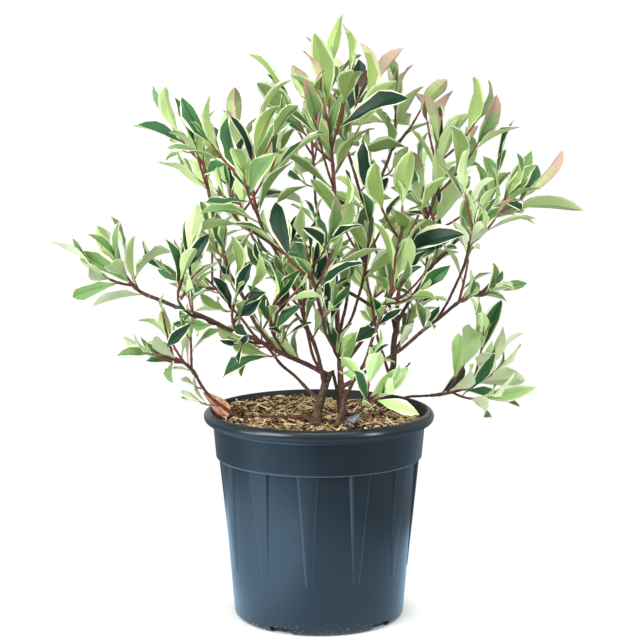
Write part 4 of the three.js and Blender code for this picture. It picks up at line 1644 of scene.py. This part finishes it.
def leafPoints(leaf, dice):
    shape, young = leafSet["shape"], leaf["young"]
    stations = np.array([*shape["stations"], 1.0])
    outer = leaf["rank"] >= shape["outerFrom"]
    length = leaf["length"] * shape["outerGain" if outer else "innerGain"]
    narrowing = shape["youngWidth"] if young else 1
    width = length * leafRule["widthShare"] * dice(*shape["widthSwing"]) * narrowing
    outline = outlineAt(stations, dice(*shape["baseTaper"]), dice(*shape["tipTaper"]))
    stalk = shape["petioleHalf"] * min(1, length / shape["fullPetiole"])
    half = np.maximum(outline * width / 2, stalk)
    half[-1] = 0.0
    fold = dice(*shape["youngFold" if young else "fold"])
    curl, tipDrop, wave = (dice(*shape[name]) for name in ("curl", "tipDrop", "wave"))
    phase = dice(0, fullTurn)
    twist = math.radians(dice(*shape["twist"]))
    sway = dice(*shape["sway"])
    outs, lifts = np.zeros((2, len(stations), len(leafSet["tones"]["columns"])))
    thick, groove = shape["thickness"], shape["thickness"] * shape["grooveShare"]
    for k in range(len(stations)):
        left, right = dice(*shape["creamWidth"]), dice(*shape["creamWidth"])
        raggedLeft, raggedRight = dice(*shape["ragged"]), dice(*shape["ragged"])
        outs[k] = [-raggedLeft, -left, 0, right, raggedRight, right, 0, -left]
        lifts[k] = [0, thick, groove, thick, 0, -thick, -shape["rib"], -thick]
    bend = shape["petioleRound"]
    outs[:2] = [-1, -bend, 0, bend, 1, bend, 0, -bend]  # the stalk is round
    lifts[:2] = np.array([0, bend, 1, bend, 0, -bend, -1, -bend]) * stalk
    t = stations[:, None]
    blade = np.clip((t - shape["bladeFrom"]) / shape["bladeReach"], 0, 1)
    drop = np.clip((t - shape["dropFrom"]) / (1 - shape["dropFrom"]), 0, 1) ** 2
    rise = curl * length * (1 - (2 * t - 1) ** 2) - tipDrop * length * drop
    side = np.where(outs < 0, -1.0, 1.0)
    swing = np.sin(fullTurn * shape["waves"] * t + phase + side * shape["waveShift"])
    spread = outs * half[:, None]
    heights = lifts + fold * np.abs(spread) * blade + wave * length * blade * outs**2 * swing
    turn = twist * (t - shape["twistFrom"])
    across = spread * np.cos(turn) - heights * np.sin(turn) + sway * length * t**2
    upright = spread * np.sin(turn) + heights * np.cos(turn) + rise
    points = leaf["root"] + leaf["way"] * (t * length)[..., None]
    points = points + leaf["across"] * across[..., None] + leaf["face"] * upright[..., None]
    uv = np.stack([(outs + 1) / 2, np.broadcast_to(t, outs.shape)], axis=-1)
    rings, tip = points[:-1].reshape(-1, 3), points[-1].mean(axis=0)
    return np.vstack([rings, tip]), np.vstack([uv[:-1].reshape(-1, 2), (0.5, 1.0)])


def leafFaces(first, palette, pinkFrom):
    names, rule = list(leafSet["colours"]), leafSet["tones"]
    sides, rings = len(rule["columns"]), len(leafSet["shape"]["stations"])

    def toneAt(k, c):
        place = rule["columns"][c]
        reached = k - pinkFrom
        if place in ("edge", "underEdge"):
            reached += rule["marginLead"]
        if k == 0:
            place = "stalk"
        elif "tipTop" in palette and reached >= 0:
            place = "tipTop" if c < sides / 2 else "tipUnder"
        elif "tipTop" in palette and reached >= -len(rule["pinkTops"]):
            return names.index(rule["pinkTops" if place == "top" else "pinkOthers"][reached])
        return names.index(palette[place])

    faces = ringFaces(first, sides, rings)
    for i, face in enumerate(faces):
        if i % sides >= sides / 2:  # turned, so that both sides split alike
            faces[i] = face[1:] + face[:1]
    last = first + sides * (rings - 1)
    faces += [[last + c, last + (c + 1) % sides, last + sides] for c in range(sides)]
    faces.append([first + c for c in reversed(range(sides))])
    slots = [toneAt(k, c) for k in range(rings) for c in range(sides)]
    return faces, [*slots, names.index(palette["stalk"])]


def makeLeaves():
    shape, rule = leafSet["shape"], leafSet["tones"]
    moodOf = {name: mood for mood, names in rule["moods"].items() for name in names}
    points, uv, faces, slots = [], [], [], []
    total = 0
    for number, spray in enumerate(sprays):
        dice = makeDice(shape["diceFrom"] + number)
        spray["mood"] = moodOf.get(spray["name"], "plain")
        for leaf in spray["leaves"]:
            spots, places = leafPoints(leaf, dice)
            palette = paletteOf(leaf, spray, dice)
            stations = rule["youngPinkStations" if leaf["young"] else "pinkStations"]
            blade, tones = leafFaces(total, palette, int(dice(*stations)))
            points.append(spots)
            uv.append(places)
            faces += blade
            slots += tones
            total += len(spots)
    materials = [leafMaterial(name, *look) for name, look in leafSet["colours"].items()]
    leaves = meshFromArrays("leaves", np.vstack(points), faces, slots, materials, np.vstack(uv))
    smoothByAngle(leaves, shape["smoothAngle"])
    standFor(leaves, "leaf", *["foliage_" + spray["name"] for spray in sprays])
    print("leaves made:", len(faces), "faces")


makeLeaves()


# Dry leaf by the left rim, and a grey scrap on the mix

dryLeafSet = {
    "root": (-90, -14, 199),
    "length": 34,
    "width": 26,
    "pleat": 1.1,
    "turn": 180,
    "tilt": 55,
    "roll": 62,
    "cup": 0.22,
    "curl": 0.16,
    "stops": [(0.3, tint(146, 90, 66)), (0.5, tint(212, 148, 120)), (0.7, tint(238, 194, 170))],
}

scrapSet = {
    "root": (28, -34, 195),
    "length": 17,
    "width": 13,
    "pleat": 0.6,
    "turn": 20,
    "tilt": 48,
    "roll": 35,
    "cup": 0.4,
    "curl": 0.2,
    "stops": [(0.3, tint(96, 104, 116)), (0.5, tint(140, 146, 156)), (0.7, tint(180, 184, 188))],
}

dryShape = {  # shared by both
    "grid": {"x_subdivisions": 10, "y_subdivisions": 8, "size": 1},
    "broadest": 0.3,
    "baseTaper": 0.6,
    "tipTaper": 0.7,
    "blunt": 0.03,
    "cupPower": 1.6,
    "ripple": 0.6,
    "ripples": (9, 3),  # along and across
    "merge": 0.05,
    "thickness": 0.5,
    "levels": 2,
    "smoothAngle": 70,
    "surface": {
        "roughness": 0.75,
        "specular": 0.3,
        "grain": (190, 5, 0.6),
        "spread": (0.6, 0.85),
        "bump": (0.5, 0.6),
    },
}


def makeDryLeaf(name, size, materialName, *nodes):
    shape = dryShape
    piece = addPrimitive(bpy.ops.mesh.primitive_grid_add, name, **shape["grid"])
    way = wayFrom(math.radians(size["turn"]), math.radians(size["tilt"]))
    face = turnAbout(unit(upWay - way * way[2]), way, math.radians(size["roll"]))
    across = np.cross(way, face)
    length, half = size["length"], size["width"] / 2
    for vertex in piece.data.vertices:
        along, out = vertex.co.x + 0.5, vertex.co.y * 2
        outline = min(1, (along + shape["blunt"]) / shape["broadest"]) ** shape["baseTaper"]
        outline *= (1 + shape["blunt"] - along) ** shape["tipTaper"]
        ripple = math.sin(shape["ripples"][0] * along + shape["ripples"][1] * out)
        lift = size["cup"] * abs(out) ** shape["cupPower"] * outline * half
        lift -= size["curl"] * length * along**2
        lift += shape["ripple"] * ripple + size["pleat"] * math.cos(fullTurn * out) * outline
        place = np.array(size["root"]) + way * along * length
        place = place + across * out * outline * half + face * lift
        vertex.co = Vector(place * mm)
    closeMesh(piece, shape["merge"])
    addModifier(piece, "SOLIDIFY", thickness=shape["thickness"] * mm, offset=0)
    subdivide(piece, shape["levels"])
    coat(piece, grainMaterial(materialName, size["stops"][0][1], shape["surface"], size["stops"]))
    smoothByAngle(piece, shape["smoothAngle"])
    standFor(piece, "dry_leaf", *nodes)


makeDryLeaf("dryLeaf", dryLeafSet, "dryLeafBrown", "dry_leaf")
makeDryLeaf("greyScrap", scrapSet, "scrapGrey")
print("dry leaf and scrap laid")


# Pale floor, whose glow also paints reflections on the pot, and soft studio light

studio = {
    "floorSize": 16,
    "floorDrop": 0.3,
    "floorColour": (0.92, 0.92, 0.92),
    "floorSurface": (0.9, 0.1),  # roughness and specular
    "floorFade": (0.072, 0.112),
    "backgroundWhite": 1.05,
    "floorBounce": 0.6,
    # painted reflection: what glossy rays see of the floor glows bright and bluish to the front
    # left and dark further off
    "paintedReflection": {
        "colour": (0.56, 0.95, 1.35),
        "farPaintedReflection": (0.24, 0.29, 0.33),
        "plain": 0.95,
        "left": (0.0, -0.14, 1.75),  # from and to along X, and how much brighter
        "front": (0.1, -0.2, 1.0),
        "right": (0.3, 0.42, 0.2),
        "near": (0.46, 0.32, 1.0),  # by the distance from the middle
        "middle": (-0.1, 0, 0),
    },
    "ambient": 0.7,
    "ambientColour": (0.97, 0.99, 1.0),
    "lamps": {  # place, width and height, power, colour
        "keyLeft": ((-1.35, -1.25, 1.0), (1.0, 1.3), 41, (1, 1, 0.96)),
        "topSoft": ((0.2, -0.6, 2.3), (1.6, 1.2), 24, (1, 1, 0.96)),
        "lowLeft": ((-1.1, -0.5, 0.2), (0.5, 0.4), 5, (0.88, 0.95, 1)),
        "fillRight": ((1.5, -1.1, 0.7), (0.3, 1.2), 18, (0.96, 0.98, 1)),
    },
    "aim": (0, 0, 0.3),
}


def addGlow(owner, strength, colour):
    glow = addNode(owner, "ShaderNodeEmission", Color=(*colour, 1))
    wire(owner, strength, glow.inputs["Strength"])
    return glow.outputs[0]


def mixShaders(owner, share, first, second):
    return wireAll(owner, addNode(owner, "ShaderNodeMixShader"), share, first, second)


def floorMaterial():
    paintedReflection, bounce = studio["paintedReflection"], studio["floorBounce"]
    material, shader = newMaterial("paleFloor", studio["floorColour"], *studio["floorSurface"])
    place = objectPlace(material)
    path = addNode(material, "ShaderNodeLightPath").outputs
    reach = distanceFrom(material, place, (0, 0, 0))
    fade = mapRange(material, reach, *studio["floorFade"], kind="SMOOTHSTEP")
    seen = addMath(material, "MULTIPLY", path["Is Camera Ray"], studio["backgroundWhite"] - bounce)
    white = addGlow(material, addMath(material, "ADD", seen, bounce), (1, 1, 1))
    # painted reflection: glossy rays see a glow shaped in zones instead of the even floor
    split = splitPlace(material, place)
    away = distanceFrom(material, place, paintedReflection["middle"])
    zones = {"left": split["X"], "front": split["Y"], "right": split["X"], "near": away}
    for zone, reading in zones.items():
        start, end, gain = paintedReflection[zone]
        zones[zone] = mapRange(material, reading, start, end, 0, gain, "SMOOTHSTEP")
    left = addMath(material, "MULTIPLY", zones["left"], zones["front"])
    bright = addMath(material, "ADD", left, paintedReflection["plain"])
    near = addMath(material, "MULTIPLY", bright, zones["near"])
    paintedShine = addGlow(material, addMath(material, "ADD", near, zones["right"]), paintedReflection["colour"])
    far = addGlow(material, 1, paintedReflection["farPaintedReflection"])
    paintedMirror = wireAll(material, addNode(material, "ShaderNodeAddShader"), paintedShine, far)
    glow = mixShaders(material, path["Is Glossy Ray"], white, paintedMirror)
    surface = mixShaders(material, fade, shader.outputs[0], glow)
    wire(material, surface, material.node_tree.nodes["Material Output"].inputs["Surface"])
    return material


def makeWorld():
    world = bpy.data.worlds.new("studioWhite")
    world.use_nodes = True
    nodes = world.node_tree.nodes
    ambient = nodes["Background"]
    ambient.inputs["Color"].default_value = (*studio["ambientColour"], 1)
    ambient.inputs["Strength"].default_value = studio["ambient"]
    white = studio["backgroundWhite"]
    backdrop = addNode(world, "ShaderNodeBackground", Color=(1, 1, 1, 1), Strength=white)
    seen = addNode(world, "ShaderNodeLightPath").outputs["Is Camera Ray"]
    surface = mixShaders(world, seen, ambient.outputs[0], backdrop.outputs[0])
    wire(world, surface, nodes["World Output"].inputs["Surface"])
    bpy.context.scene.world = world


def makeStudio():
    floor = addPrimitive(bpy.ops.mesh.primitive_plane_add, "paleFloor", size=studio["floorSize"])
    floor.data.transform(Matrix.Translation((0, 0, -studio["floorDrop"] * mm)))
    coat(floor, floorMaterial())
    makeWorld()
    for name, (place, (wide, high), power, colour) in studio["lamps"].items():
        data = bpy.data.lights.new(name, "AREA")
        data.shape = "RECTANGLE"
        data.size = wide
        data.size_y = high
        data.energy = power
        data.color = colour
        light = placeObject(name, data)
        light.location = place
        aim = Vector(studio["aim"]) - Vector(place)
        light.rotation_euler = aim.to_track_quat("-Z", "Y").to_euler()
    bpy.context.scene.view_settings.view_transform = "Standard"
    print("studio lit")


makeStudio()
